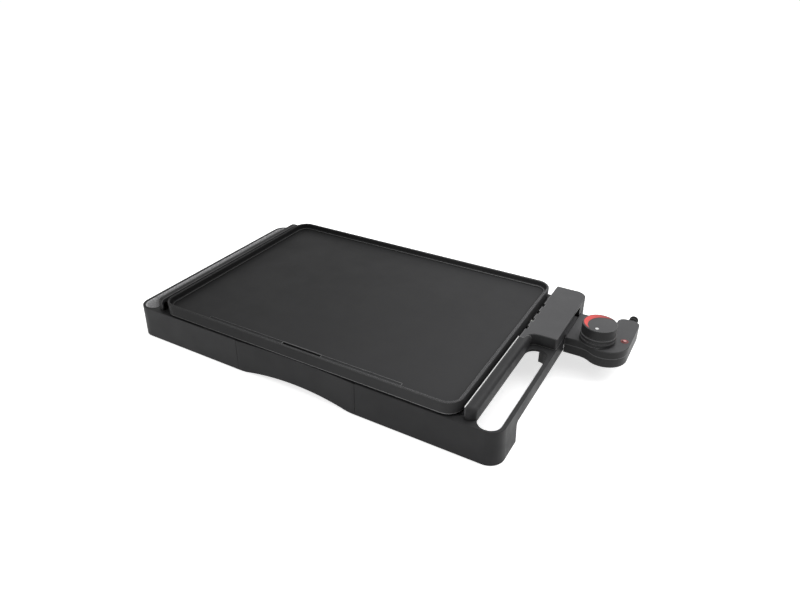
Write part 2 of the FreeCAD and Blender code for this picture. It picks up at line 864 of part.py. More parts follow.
def socket_cover():
    cover = body("socket_cover")
    front = cover_front
    end_x = half_x - s.edge_round
    back = s.cover_back_corner
    nose = s.cover_front_corner
    shape = sketch(cover, "XY", s.base_height)
    outline(shape, [
        (ridge_inner, cover_tongue),
        (tongue_x, cover_tongue),
        (tongue_x, sweep_y),
        (sweep_x, front, sweep_x, sweep_y),
        (end_x - nose, front),
        (end_x, front + nose, end_x - nose, front + nose),
        (end_x, half_y - back),
        (end_x - back, half_y, end_x - back, half_y - back),
        (ridge_inner, half_y),
    ])
    pad(cover, shape, s.ridge_height)
    # moulded wall with an open underside
    room = sketch(cover, "XY", s.base_height)
    wall = s.cover_wall
    rectangle(room, ridge_inner + wall, front + wall, half_x - s.recess_depth - wall, half_y - wall)
    pocket(cover, room, s.ridge_height - wall, up=True)
    posts = sketch(cover, "XY", s.base_height)
    for x, y in cover_screw_places():
        facets(posts, x, y, s.cover_post)
    pad(cover, posts, s.ridge_height - wall)
    bores = sketch(cover, "XY", s.base_height)
    for x, y in cover_screw_places():
        facets(bores, x, y, s.screw_radius + s.press_clearance)
    pocket(cover, bores, s.screw_bite + s.screw_bore_room, up=True)
    # recess over the thermostat's neck
    recess = sketch(cover, "XY", s.base_height)
    rectangle(recess, half_x - s.recess_depth, recess_front, half_x + s.overrun, recess_back)
    pocket(cover, recess, s.ridge_height - s.recess_top, up=True)
    # vent notches along the edge beside the plate
    notches = sketch(cover, "XY", ridge_top)
    for index in range(int(s.notch_count.number)):
        start = cover_tongue + s.notch_pitch * (index + 1)
        outer = ridge_inner - s.overrun
        rectangle(notches, outer, start, ridge_inner + s.notch_depth, start + s.notch_width)
    pocket(cover, notches, s.notch_drop)

    def rim(edge):
        box = edge.BoundBox
        outer_side = near(box.XMax, end_x) or near(box.YMax, half_y) or near(box.YMin, front)
        return level(edge, ridge_top) and outer_side and box.XMax > number_of(tongue_x)

    round_edges(cover, s.cover_edge, rim, "Chamfer")
    return cover


# Cooking plate
def griddle_plate():
    plate = body("griddle_plate")
    shape = sketch(plate, "XY", s.plate_bottom)
    rounded(shape, -plate_x, -plate_y, plate_x, plate_y, s.plate_corner)
    pad(plate, shape, s.plate_top - s.plate_bottom)
    for inset, top, drop in (
        (s.plate_rim, s.plate_top, s.plate_rim_drop),
        (s.plate_rim + s.plate_ledge, ledge_z, s.plate_ledge_drop),
    ):
        dish = sketch(plate, "XY", top)
        x = plate_x - inset
        y = plate_y - inset
        rounded(dish, -x, -y, x, y, s.plate_corner - inset)
        pocket(plate, dish, drop)
    under = sketch(plate, "XY", s.plate_bottom)
    x = plate_x - s.plate_wall
    y = plate_y - s.plate_wall
    bevelled(under, -x, -y, x, y, s.plate_corner - s.plate_wall)
    pocket(plate, under, plate_under - s.plate_bottom, up=True)
    # cast stiffening ribs below
    ribs = sketch(plate, "XY", plate_under)
    for index in (-1, 0, 1):
        middle = index * plate_x / 2
        near_y = s.plate_rib_setback - y
        rectangle(ribs, middle - s.plate_rib_width / 2, near_y, middle + s.plate_rib_width / 2, y)
    pad(plate, ribs, s.plate_rib_height, down=True)
    # shallow gutter along the front edge, with the drain slot in it
    gutter = sketch(plate, "XY", cook_z)
    reach = s.gutter_length / 2
    rectangle(gutter, -reach, gutter_front, reach, gutter_back)
    pocket(plate, gutter, s.gutter_depth)
    drain = sketch(plate, "XY", cook_z)
    reach = s.drain_length / 2
    x = s.drain_offset
    rectangle(drain, x - reach, drain_front, x + reach, gutter_back)
    pocket(plate, drain, s.plate_thickness)

    def rim(edge):
        return level(edge, s.plate_top)

    def ledge(edge):
        box = edge.BoundBox
        margin = number_of(s.plate_rim + s.plate_ledge) - 0.01
        inside = max(-box.XMin, box.XMax) < number_of(plate_x) - margin
        return level(edge, ledge_z) and inside and max(-box.YMin, box.YMax) < number_of(plate_y) - margin

    round_edges(plate, s.plate_edge, rim, "Chamfer")
    round_edges(plate, s.ledge_edge, ledge, "Chamfer")
    return plate


def plate_rests():
    """Four blocks on the reflector's flange, which carry the plate's wall."""
    rests = body("plate_rests")
    blocks = sketch(rests, "XY", flange_top)
    y = plate_y - s.plate_wall - s.rest_width / 2
    for side in (-1, 1):
        for end in (-1, 1):
            x0 = side * s.rest_spread - s.rest_length / 2
            y0 = end * y - s.rest_width / 2
            rectangle(blocks, x0, y0, x0 + s.rest_length, y0 + s.rest_width)
    pad(rests, blocks, s.plate_bottom - flange_top)
    return rests


# Reflector
def heat_reflector():
    pan = body("heat_reflector")
    sheet_side = s.sheet_thickness
    flange = sketch(pan, "XY", s.base_height)
    rounded(flange, -flange_x, -flange_y, flange_x, flange_y, s.flange_corner)
    inner_x = pan_x - sheet_side
    inner_y = pan_y - sheet_side
    inner_front = pan_front + sheet_side
    rounded(flange, -inner_x, inner_front, inner_x, inner_y, s.reflector_corner - sheet_side)
    pad(pan, flange, sheet_side)
    wall = sketch(pan, "XY", s.base_height)
    rounded(wall, -pan_x, pan_front, pan_x, pan_y, s.reflector_corner)
    rounded(wall, -inner_x, inner_front, inner_x, inner_y, s.reflector_corner - sheet_side)
    pad(pan, wall, s.reflector_depth, down=True)
    floor = sketch(pan, "XY", pan_floor)
    rounded(floor, -pan_x, pan_front, pan_x, pan_y, s.reflector_corner)
    pad(pan, floor, sheet_side)
    for side, top, far in (
        (1, ridge_top + s.upstand_rise_right, cover_tongue - s.seam_gap),
        (-1, ridge_top - s.upstand_fall_left, half_y - s.upstand_front_gap),
    ):
        stand = sketch(pan, "XY", s.base_height)
        low, high = span(side, flange_x - s.upstand_thickness, flange_x)
        rectangle(stand, low, s.upstand_front_gap - half_y, high, far)
        pad(pan, stand, top - s.base_height)
    drain = sketch(pan, "XY", flange_top)
    reach = s.drain_length / 2 + s.base_wall
    rectangle(drain, s.drain_offset - reach, -flange_y - s.overrun, s.drain_offset + reach, pan_front)
    pocket(pan, drain, 2 * sheet_side)
    entries = sketch(pan, "YZ", pan_x - 2 * sheet_side)
    for y, radius in (
        (heater_front, s.heater_radius),
        (recess_center, s.sleeve_radius),
        (heater_back, s.heater_radius),
    ):
        facets(entries, y, s.heater_height, radius + s.heater_entry_gap, TUBE_SIDES)
    pocket(pan, entries, 3 * sheet_side, up=True)
    holes = sketch(pan, "XY", flange_top)
    for x, y in flange_screws():
        facets(holes, x, y, s.screw_radius + s.shaft_fit)
    pocket(pan, holes, sheet_side)
    return pan


# Heater and mains terminals
def heating_element():
    """Tubular heater with the flats that the press leaves on it."""
    heater = body("heating_element")
    outer = heater_outer
    inner = s.heater_inner
    left = -heater_left
    right = heater_right
    turn = -heater_turn
    bend = s.heater_bend
    ess = s.heater_s_bend
    back = heater_back
    front = heater_front
    start = block_start
    path = sketch(heater, "XY", s.heater_height)
    ess_x = right + bend - ess
    outline(path, [
        (start, back),
        (left + bend, back),
        (left, back - bend, left + bend, back - bend),
        (left, bend - outer),
        (left + bend, -outer, left + bend, bend - outer),
        (right - bend, -outer),
        (right, bend - outer, right - bend, bend - outer),
        (right, -inner - bend),
        (right - bend, -inner, right - bend, -inner - bend),
        (turn + bend, -inner),
        (turn, bend - inner, turn + bend, bend - inner),
        (turn, inner - bend),
        (turn + bend, inner, turn + bend, inner - bend),
        (ess_x - 2 * ess, inner),
        (ess_x - ess, inner + ess, ess_x - 2 * ess, inner + ess),
        (ess_x - ess, front - ess),
        (ess_x, front, ess_x, front - ess),
        (start, front),
    ], closed=False)
    ring = sketch(heater, "YZ", start)
    facets(ring, back, s.heater_height, s.heater_radius)
    item = heater.newObject("PartDesign::AdditivePipe", "Tube")
    item.Profile = ring
    item.Spine = path
    return heater


def element_clips():
    """Saddles that stand on the reflector's floor and hold the heater."""
    clips = body("element_clips")
    base = sketch(clips, "XY", pan_floor + s.sheet_thickness)
    long = s.clip_length / 2
    wide = s.clip_width / 2
    for x, y in clip_places():
        rectangle(base, x - long, y - wide, x + long, y + wide)
    pad(clips, base, s.heater_height - pan_floor - s.sheet_thickness + s.clip_grip)
    groove = sketch(clips, "YZ", -half_x)
    for y in clip_rows():
        facets(groove, y, s.heater_height, s.heater_radius + s.press_clearance)
    pocket(clips, groove, s.base_length, up=True)
    return clips


def clip_rows():
    return [-heater_outer, -s.heater_inner, heater_back]


def clip_places():
    return [(side * heater_turn / 2, y) for side in (-1, 1) for y in clip_rows()]


def terminal_block():
    block = body("terminal_block")
    shape = sketch(block, "YZ", block_start)
    low = deck_under - s.block_height
    rectangle(shape, block_front, low, block_front + s.block_width, deck_under)
    for y, radius, sides in (
        (heater_front, s.pin_radius, RING_SIDES),
        (recess_center, s.sleeve_radius, TUBE_SIDES),
        (heater_back, s.pin_radius, RING_SIDES),
    ):
        facets(shape, y, s.heater_height, radius + s.press_clearance, sides)
    pad(block, shape, s.block_depth)
    return block


def terminal_pins():
    pins = body("terminal_pins")
    shape = sketch(pins, "YZ", block_start)
    for y in (heater_front, heater_back):
        facets(shape, y, s.heater_height, s.pin_radius, RING_SIDES)
    pad(pins, shape, pin_end - block_start)
    return pins


def probe_sleeve():
    """Blind tube that takes the thermostat's probe, closed at its inner end."""
    sleeve = body("probe_sleeve")
    shape = sketch(sleeve, "YZ", sleeve_start)
    facets(shape, recess_center, s.heater_height, s.sleeve_radius, TUBE_SIDES)
    pad(sleeve, shape, block_start + s.block_depth - sleeve_start)
    bore = sketch(sleeve, "YZ", sleeve_start + s.sleeve_end_wall)
    facets(bore, recess_center, s.heater_height, around(s.sleeve_bore, TUBE_SIDES), TUBE_SIDES)
    pocket(sleeve, bore, s.base_length, up=True)
    return sleeve


# Grease drawer
def tray_front():
    front = body("tray_front")
    low = s.foot_height
    top = s.base_height - s.panel_drop
    slope = tangent(s.base_draft)
    half = drawer_half - s.panel_gap
    # section across the drafted wall, drawn to the full width
    side = sketch(front, "YZ", -half)
    outline(side, [
        (-half_y - (s.base_height - low) * slope, low),
        (panel_back, low),
        (panel_back, top),
        (-half_y - s.panel_drop * slope, top),
    ])
    pad(front, side, 2 * half)
    # arched lower edge
    reach = s.arch_length / 2
    rise = s.arch_rise
    radius = (reach * reach + rise * rise) / (2 * rise)
    past = s.overrun
    arch = sketch(front, "XZ", -past - panel_back)
    outline(arch, [
        (-reach, low - past),
        (reach, low - past),
        (reach, low),
        (0, low + rise, 0, low + rise - radius),
        (-reach, low, 0, low + rise - radius),
    ])
    pocket(front, arch, s.panel_thickness + flare + 3 * past, up=True)

    def arch_end(edge):
        box = edge.BoundBox
        across = box.YMax - box.YMin > 1 and box.XMax - box.XMin < 0.5
        return across and near(max(abs(box.XMin), abs(box.XMax)), reach)

    room = EDGE_SHARE * (half - reach) * reach / rise
    round_edges(front, least(s.arch_corner, room), arch_end)
    # shallow dish in the drafted face
    dish = s.panel_dish
    wide = half - s.panel_land
    sweep = (wide * wide + dish * dish) / (2 * dish)
    scoop = sketch(front, "XY", s.base_height + past)
    scoop.AttachmentOffset = FreeCAD.Placement(Vector(), FreeCAD.Rotation(Vector(-1, 0, 0), 1))
    bind(scoop, "AttachmentOffset.Base.z", s.base_height + past)
    bind(scoop, "AttachmentOffset.Base.y", slope - half_y)
    bind(scoop, "AttachmentOffset.Rotation.Angle", s.base_draft)
    outline(scoop, [
        (-wide, -s.panel_thickness),
        (wide, -s.panel_thickness),
        (wide, 0),
        (0, dish, 0, dish - sweep),
        (-wide, 0, 0, dish - sweep),
    ])
    pocket(front, scoop, s.base_height + 2 * past)
    return front


def drip_tray():
    tray = body("drip_tray")
    near_y = panel_back
    far_y = panel_back + s.tray_depth
    top = tray_top
    corner = s.tray_corner
    shape = sketch(tray, "XY", s.tray_bottom)
    outline(shape, tray_outline(tray_half, near_y, far_y, corner))
    pad(tray, shape, s.tray_height)
    wall = s.tray_wall
    room = sketch(tray, "XY", top)
    rounded(room, wall - tray_half, near_y + wall, tray_half - wall, far_y - wall, corner - wall)
    pocket(tray, room, s.tray_height - wall)
    # side flanges that hang in the runners
    flange = sketch(tray, "XY", top)
    reach = runner_web_x - s.runner_gap
    for side in (-1, 1):
        low, high = span(side, tray_half - wall / 2, reach)
        rectangle(flange, low, near_y, high, far_y - corner)
    pad(tray, flange, s.tray_flange, down=True)

    def floor(edge):
        return level(edge, s.tray_bottom + wall)

    round_edges(tray, s.tray_edge, floor, "Chamfer")
    return tray


def tray_outline(half, low, high, corner):
    return [
        (half, low),
        (half, high - corner),
        (half - corner, high, half - corner, high - corner),
        (corner - half, high),
        (-half, high - corner, corner - half, high - corner),
        (-half, low),
    ]


def tray_runner(label, side):
    """Channel below the skirt, in which one flange of the tray slides."""
    runner = body(label)
    web = runner_web_x
    lip = s.runner_lip
    low = runner_lip_top - s.runner_lip_thickness
    thick = s.runner_web
    section = sketch(runner, "XZ", -runner_end)
    points = [
        (web - lip, low),
        (web + thick, low),
        (web + thick, s.runner_top),
        (web - lip, s.runner_top),
        (web - lip, s.runner_top - s.runner_top_lip),
        (web, s.runner_top - s.runner_top_lip),
        (web, runner_lip_top),
        (web - lip, runner_lip_top),
    ]
    outline(section, [(side * x, z) for x, z in points])
    pad(runner, section, runner_end - panel_back - s.panel_gap)
    ears = sketch(runner, "XY", s.runner_top)
    holes = sketch(runner, "XY", s.runner_top)
    left, right = span(side, web + thick / 2, web + thick + s.runner_ear)
    for x, y in runner_screw_places():
        if side * number_of(x) > 0:
            rectangle(ears, left, y - s.runner_ear_width / 2, right, y + s.runner_ear_width / 2)
            facets(holes, x, y, s.screw_radius + s.screw_clearance)
    pad(runner, ears, s.runner_ear_thickness, down=True)
    pocket(runner, holes, s.runner_ear_thickness)
    return runner


# Rubber and trim
def rubber_feet():
    feet = body("rubber_feet")
    disc = sketch(feet, "XY", 0)
    stem = sketch(feet, "XY", s.foot_height)
    for side in (-1, 1):
        for end in (-1, 1):
            facets(disc, side * foot_x, end * foot_y, s.foot_radius)
            facets(stem, side * foot_x, end * foot_y, s.foot_stem)
    pad(feet, disc, s.foot_height)
    pad(feet, stem, s.foot_stem_length)
    return feet


def grip_pad(label, side, low, high):
    """Soft lining on the inner face of a hand rail and round the ends of its slot."""
    strip = body(label)
    shape = sketch(strip, "XY", s.rail_bottom + s.pad_margin)
    liner(shape, side, low, high, s.slot_width / 2 - s.pad_fit, s.pad_thickness)
    pad(strip, shape, s.base_height - s.rail_bottom - 2 * s.pad_margin)
    return strip


# Fasteners
def screws(label, spots, head_z, shank_z, radius, head_radius):
    """Equal screws along Z, with the head at head_z and the shank's end at shank_z."""
    group = body(label)
    upward = number_of(shank_z) > number_of(head_z)
    head = sketch(group, "XY", head_z)
    shank = sketch(group, "XY", head_z)
    for x, y in spots:
        facets(head, x, y, head_radius)
        facets(shank, x, y, radius)
    pad(group, head, s.screw_head_height, down=upward)
    pad(group, shank, shank_z - head_z if upward else head_z - shank_z, down=not upward)
    return group


# Thermostat
def shell_outline(inset):
    """The thermostat's plan shape, drawn in by an even distance."""
    start = shell_start + inset
    front = neck_front + inset
    head = head_front + inset
    back = neck_back - inset
    rear = head_back - inset
    end = head_end - inset
    corner_x = head_end - s.head_corner
    corner_y = head_front + s.head_corner
    step_x = shell_start + s.neck_length
    run = corner_x - step_x
    fall = neck_front - head_front
    sweep = (run * run + fall * fall) / (4 * fall)
    share = (sweep + inset) / sweep
    shoulder = head_shoulder + inset
    back_x = head_end - s.head_back_corner
    back_y = head_back - s.head_back_corner
    turn_x = head_shoulder + s.head_shoulder_corner
    turn_y = head_back - s.head_shoulder_corner
    return [
        (start, front),
        (step_x, front),
        (step_x + run / 2 * share, neck_front - sweep + (sweep - fall / 2) * share,
         step_x, neck_front - sweep),
        (corner_x, head, corner_x, head_front + sweep),
        (end, corner_y, corner_x, corner_y),
        (end, back_y),
        (back_x, rear, back_x, back_y),
        (turn_x, rear),
        (shoulder, turn_y, turn_x, turn_y),
        (shoulder, back),
        (start, back),
    ]


def shell_screw_places():
    neck_x = shell_start + s.neck_screw_x
    return [
        (neck_x, neck_front + s.neck_screw_y),
        (neck_x, neck_back - s.neck_screw_y),
        (head_end - s.head_screw_x, head_front + s.head_screw_y),
        (head_shoulder + s.shoulder_screw_x, head_back - s.shoulder_screw_y),
    ]


def clamp_screw_places():
    y = head_back - s.clamp_inset
    return [(gland_x - s.clamp_pitch / 2, y), (gland_x + s.clamp_pitch / 2, y)]


def nose_cut(shell):
    """Opening for the nose in the shell's inner wall."""
    fit = s.nose_fit
    cut = sketch(shell, "YZ", shell_start - s.overrun)
    far_y = nose_front + s.nose_width + fit
    rounded(cut, nose_front - fit, s.nose_bottom - fit, far_y, nose_top + fit, s.nose_corner + fit)
    pocket(shell, cut, s.shell_wall + 2 * s.overrun, up=True)


def gland_cut(shell):
    cut = sketch(shell, "XZ", -head_back - s.overrun)
    facets(cut, gland_x, s.shell_seam, s.gland_neck + s.gland_fit, RING_SIDES)
    pocket(shell, cut, s.shell_wall + 2 * s.overrun, up=True)


def controller_upper_shell():
    shell = body("controller_upper_shell")
    shape = sketch(shell, "XY", s.shell_seam)
    outline(shape, shell_outline(0))
    pad(shell, shape, s.shell_top - s.shell_seam)
    room = sketch(shell, "XY", s.shell_seam)
    outline(room, shell_outline(s.shell_wall))
    pocket(shell, room, s.shell_top - s.shell_seam - s.shell_wall, up=True)
    posts = sketch(shell, "XY", s.shell_seam)
    for x, y in shell_screw_places():
        facets(posts, x, y, s.post_radius)
    pad(shell, posts, s.shell_top - s.shell_seam - s.shell_wall)
    bores = sketch(shell, "XY", s.shell_seam)
    for x, y in shell_screw_places():
        facets(bores, x, y, s.screw_radius + s.press_clearance)
    pocket(shell, bores, s.screw_bite, up=True)
    nose_cut(shell)
    gland_cut(shell)
    holes = sketch(shell, "XY", s.shell_top)
    facets(holes, knob_x, knob_y, around(s.shaft_radius + s.shaft_hole_gap))
    facets(holes, lamp_x, lamp_y, around(s.lens_stem + s.gland_fit))
    pocket(shell, holes, 2 * s.shell_wall)

    def rim(edge):
        box = edge.BoundBox
        return level(edge, s.shell_top) and box.DiagonalLength > 3 * number_of(s.shaft_radius)

    round_edges(shell, s.shell_edge, rim, "Chamfer")
    return shell


def controller_lower_shell():
    shell = body("controller_lower_shell")
    shape = sketch(shell, "XY", s.shell_bottom)
    outline(shape, shell_outline(0))
    pad(shell, shape, s.shell_seam - s.shell_bottom)
    room = sketch(shell, "XY", shell_deep)
    outline(room, shell_outline(s.shell_wall))
    pocket(shell, room, s.shell_seam, up=True)
    root_z = s.shell_bottom + s.post_room
    posts = sketch(shell, "XY", root_z)
    for x, y in shell_screw_places():
        facets(posts, x, y, s.post_radius)
    pad(shell, posts, s.shell_seam - root_z)
    stand = sketch(shell, "XY", root_z)
    facets(stand, lamp_x, lamp_y, s.lamp_radius + s.lamp_seat_rim, TUBE_SIDES)
    pad(shell, stand, lamp_seat - root_z)
    clamp_posts = sketch(shell, "XY", root_z)
    for x, y in clamp_screw_places():
        facets(clamp_posts, x, y, s.clamp_post)
    pad(shell, clamp_posts, clamp_seat - root_z)
    bores = sketch(shell, "XY", s.shell_bottom)
    for x, y in shell_screw_places():
        facets(bores, x, y, s.screw_radius + s.shaft_fit)
    pocket(shell, bores, s.shell_seam, up=True)
    sinks = sketch(shell, "XY", s.shell_bottom)
    for x, y in shell_screw_places():
        facets(sinks, x, y, s.shell_screw_head + s.screw_clearance)
    pocket(shell, sinks, sink_top - s.shell_bottom, up=True)
    clamp_bores = sketch(shell, "XY", clamp_seat)
    for x, y in clamp_screw_places():
        facets(clamp_bores, x, y, s.clamp_screw + s.press_clearance)
    pocket(shell, clamp_bores, s.screw_bite + s.screw_bore_room)
    nose_cut(shell)
    gland_cut(shell)
    return shell


def controller_nose():
    nose = body("controller_nose")
    shape = sketch(nose, "YZ", nose_start)
    rounded(shape, nose_front, s.nose_bottom, nose_front + s.nose_width, nose_top, s.nose_corner)
    flange_x0 = shell_start + s.shell_wall
    pad(nose, shape, flange_x0 + s.nose_flange - nose_start)
    flange = sketch(nose, "YZ", flange_x0)
    step = s.nose_flange_step
    low = shell_deep + s.nose_fit
    top = s.shell_top - s.shell_wall - s.nose_fit
    rectangle(flange, nose_front - step, low, nose_front + s.nose_width + step, top)
    pad(nose, flange, s.nose_flange)
    bores = sketch(nose, "YZ", nose_start)
    probe_bore = around(s.probe_radius + s.press_clearance, TUBE_SIDES)
    facets(bores, recess_center, s.heater_height, probe_bore, TUBE_SIDES)
    half = socket_half + s.press_clearance
    for y in (heater_front, heater_back):
        rectangle(bores, y - half, s.heater_height - half, y + half, s.heater_height + half)
    pocket(nose, bores, s.base_length, up=True)
    return nose


def contact_sockets():
    """Folded brass boxes that take the two pins."""
    sockets = body("contact_sockets")
    shape = sketch(sockets, "YZ", socket_start)
    z = s.heater_height
    for y in (heater_front, heater_back):
        for half in (socket_half, pin_room):
            rectangle(shape, y - half, z - half, y + half, z + half)
    pad(sockets, shape, socket_end - socket_start)
    return sockets


def probe_rod():
    rod = body("probe_rod")
    shape = sketch(rod, "YZ", probe_start)
    circle(shape, recess_center, s.heater_height, s.probe_radius)
    pad(rod, shape, unit_start - probe_start)
    return rod


def thermostat_unit():
    unit = body("thermostat_unit")
    shape = sketch(unit, "XY", shell_deep)
    rectangle(shape, unit_start, unit_front, unit_start + s.unit_length, unit_front + s.unit_width)
    pad(unit, shape, s.unit_height)
    bore = sketch(unit, "XY", s.shaft_bottom)
    facets(bore, knob_x, knob_y, around(s.shaft_radius + s.shaft_fit, TUBE_SIDES), TUBE_SIDES)
    pocket(unit, bore, s.base_height, up=True)
    return unit


def knob_shaft():
    shaft = dial_body("knob_shaft")
    shape = sketch(shaft, "XY", s.shaft_bottom)
    circle(shape, 0, 0, s.shaft_radius)
    pad(shaft, shape, s.shaft_top - s.shaft_bottom)
    # flat that keys the knob to the shaft
    flat = sketch(shaft, "XY", s.shaft_top)
    rectangle(flat, s.shaft_flat, -s.shaft_radius, 2 * s.shaft_radius, s.shaft_radius)
    pocket(shaft, flat, s.shaft_top - knob_bottom - s.knob_gap)
    return shaft


def dial_body(label):
    """A body whose own axis is the dial's."""
    item = body(label)
    bind(item, "Placement.Base.x", center_x + knob_x)
    bind(item, "Placement.Base.y", knob_y)
    return item


def control_knob():
    knob = dial_body("control_knob")
    wall = s.knob_wall
    ceiling = s.knob_top - s.knob_crown
    band = sketch(knob, "XY", knob_bottom)
    circle(band, 0, 0, s.knob_skirt)
    pad(knob, band, s.knob_step - knob_bottom)
    grip = sketch(knob, "XY", s.knob_step)
    circle(grip, 0, 0, s.knob_radius)
    pad(knob, grip, s.knob_top - s.knob_step)

    def top_edge(edge):
        return level(edge, s.knob_top)

    round_edges(knob, s.knob_edge, top_edge, "Chamfer")
    hollow = sketch(knob, "XY", knob_bottom)
    facets(hollow, 0, 0, s.knob_radius - wall, RING_SIDES)
    pocket(knob, hollow, ceiling - knob_bottom, up=True)
    # hub with the keyed bore
    hub_end = knob_bottom + s.knob_hub_rise
    hub = sketch(knob, "XY", hub_end)
    facets(hub, 0, 0, s.knob_hub, TUBE_SIDES)
    pad(knob, hub, ceiling - hub_end)
    fit = s.shaft_radius + s.press_clearance
    chord = s.shaft_flat + s.press_clearance
    across = root(fit * fit - chord * chord)
    bore = sketch(knob, "XY", hub_end)
    outline(bore, [
        (chord, across),
        (-fit, 0, 0, 0),
        (chord, -across, 0, 0),
    ])
    pocket(knob, bore, s.shaft_top + s.bore_end_gap - hub_end, up=True)
    return knob


def crescent(owner, z):
    """A crescent between two equal circles, widest towards the dial's hot end."""
    item = sketch(owner, "XY", z)
    item.AttachmentOffset = FreeCAD.Placement(Vector(), FreeCAD.Rotation(Vector(0, 0, 1), 1))
    bind(item, "AttachmentOffset.Base.z", z)
    bind(item, "AttachmentOffset.Rotation.Angle", s.mark_angle)
    reach = s.mark_radius
    shift = s.mark_width
    across = root(reach * reach - shift * shift / 4)
    outline(item, [
        (shift / -2, -across, -shift, 0),
        (reach, 0, 0, 0),
        (shift / -2, across, 0, 0),
        (reach - shift, 0, -shift, 0),
    ])
    return item


def pointer(owner, z):
    item = sketch(owner, "XY", z)
    circle(item, 0, -s.dot_distance, s.dot_radius)
    return item


def knob_inlay(label, shape):
    """A thin foil on the dial's flat top."""
    inlay = dial_body(label)
    pad(inlay, shape(inlay, s.knob_top), s.mark_height)
    return inlay


# Indicator and cord entry
def indicator_lens():
    """Raised lens with a stem through the shell."""
    lens = body("indicator_lens")
    head = sketch(lens, "XY", s.shell_top)
    circle(head, lamp_x, lamp_y, s.lens_radius)
    pad(lens, head, s.lens_height)
    stem = sketch(lens, "XY", s.shell_top)
    facets(stem, lamp_x, lamp_y, s.lens_stem)
    pad(lens, stem, s.shell_wall + s.lens_stem_end, down=True)
    return lens


def indicator_lamp():
    lamp = body("indicator_lamp")
    shape = sketch(lamp, "XY", lamp_seat)
    facets(shape, lamp_x, lamp_y, s.lamp_radius, TUBE_SIDES)
    pad(lamp, shape, s.lamp_length)
    return lamp


def cable_gland():
    """Ringed sleeve round the cord's exit, with its collar behind the shells' wall."""
    gland = body("cable_gland")
    seat = head_back - s.shell_wall - s.gland_seat
    count = int(s.gland_rings.number)
    stretches = [
        (s.gland_neck + s.gland_collar_step, seat - s.gland_collar, seat),
        (s.gland_neck, seat, head_back),
        (s.gland_tip_radius - s.gland_groove, head_back, gland_end),
    ]
    pitch = (gland_end - s.gland_ring_width - head_back) / (count - 1)
    for index in range(count):
        share = index / (count - 1)
        near_y = head_back + pitch * index
        radius = s.gland_radius * (1 - share) + s.gland_tip_radius * share
        stretches.append((radius, near_y, near_y + s.gland_ring_width))
    for radius, near_y, far_y in stretches:
        ring = sketch(gland, "XZ", -far_y)
        facets(ring, gland_x, s.shell_seam, radius, RING_SIDES)
        pad(gland, ring, far_y - near_y)
    bore = sketch(gland, "XZ", -gland_end)
    facets(bore, gland_x, s.shell_seam, s.gland_bore, RING_SIDES)
    pocket(gland, bore, gland_end - head_back + s.shell_wall + s.gland_collar + s.overrun, up=True)
    return gland


def cord_clamp():
    clamp = body("cord_clamp")
    shape = sketch(clamp, "XY", clamp_seat)
    y = clamp_screw_places()[0][1]
    rectangle(shape, gland_x - s.clamp_length / 2, y - s.clamp_width / 2,
              gland_x + s.clamp_length / 2, y + s.clamp_width / 2)
    for x, y in clamp_screw_places():
        facets(shape, x, y, s.clamp_screw + s.screw_clearance)
    pad(clamp, shape, s.clamp_thickness)
    return clamp


def build():
    """Make every sub-part, in the order in which the griddle goes together."""
    return [
        base_frame(),
        rubber_feet(),
        socket_cover(),
        screws("cover_screws", cover_screw_places(), deck_under,
               s.base_height + s.screw_bite, s.screw_radius, s.screw_head),
        grip_pad("grip_pad_left", -1, slot_near, -slot_near),
        grip_pad("grip_pad_right", 1, slot_near, slot_far_right),
        heat_reflector(),
        screws("reflector_screws", flange_screws(), flange_top, deck_under, s.screw_radius, s.screw_head),
        element_clips(),
        heating_element(),
        terminal_block(),
        terminal_pins(),
        probe_sleeve(),
        plate_rests(),
        griddle_plate(),
        tray_runner("tray_runner_left", -1),
        tray_runner("tray_runner_right", 1),
        screws("runner_screws", runner_screw_places(), s.runner_top - s.runner_ear_thickness,
               s.runner_top + s.screw_bite, s.screw_radius, s.screw_head),
        drip_tray(),
        tray_front(),
        controller_lower_shell(),
        controller_upper_shell(),
        controller_nose(),
        contact_sockets(),
        probe_rod(),
        thermostat_unit(),
        indicator_lamp(),
        indicator_lens(),
        cable_gland(),
        cord_clamp(),
        screws("clamp_screws", clamp_screw_places(), clamp_seat + s.clamp_thickness,
               clamp_seat - s.screw_bite, s.clamp_screw, s.clamp_screw_head),
        screws("shell_screws", shell_screw_places(), sink_top,
               s.shell_seam + s.screw_bite - s.post_room, s.screw_radius, s.shell_screw_head),
        knob_shaft(),
        control_knob(),
        knob_inlay("knob_mark", crescent),
        knob_inlay("pointer_dot", pointer),
    ]


nodes = build()
doc.recompute()

for item in doc.Objects:
    if "Invalid" in item.State or "Error" in item.State:
        raise RuntimeError("%s failed: %s" % (item.Name, item.State))
for item in doc.Objects:
    if item.TypeId == "PartDesign::Pocket" and item.BaseFeature is not None:
        if item.Shape.Volume > item.BaseFeature.Shape.Volume - 0.01:
            raise RuntimeError("%s cuts nothing from %s" % (item.Name, item.getParentGeoFeatureGroup().Label))
for item in nodes:
    if item.Shape.isNull() or not item.Shape.isValid():
        raise RuntimeError("%s has no valid shape" % item.Label)

os.makedirs("parts", exist_ok=True)
for item in nodes:
    item.Shape.exportStep("parts/%s.step" % item.Label)
    box = item.Shape.BoundBox
    print("%-24s %2d solids  x %8.2f %8.2f  y %8.2f %8.2f  z %7.2f %7.2f" % (
        item.Label, len(item.Shape.Solids), box.XMin, box.XMax, box.YMin, box.YMax, box.ZMin, box.ZMax))
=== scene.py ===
"""Looks of the electric plancha griddle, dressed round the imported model.

Lengths are in metres, angles in radians, and colours are linear red, green and blue."""

import json
import math

import bmesh
import bpy
from mathutils import Matrix, Vector


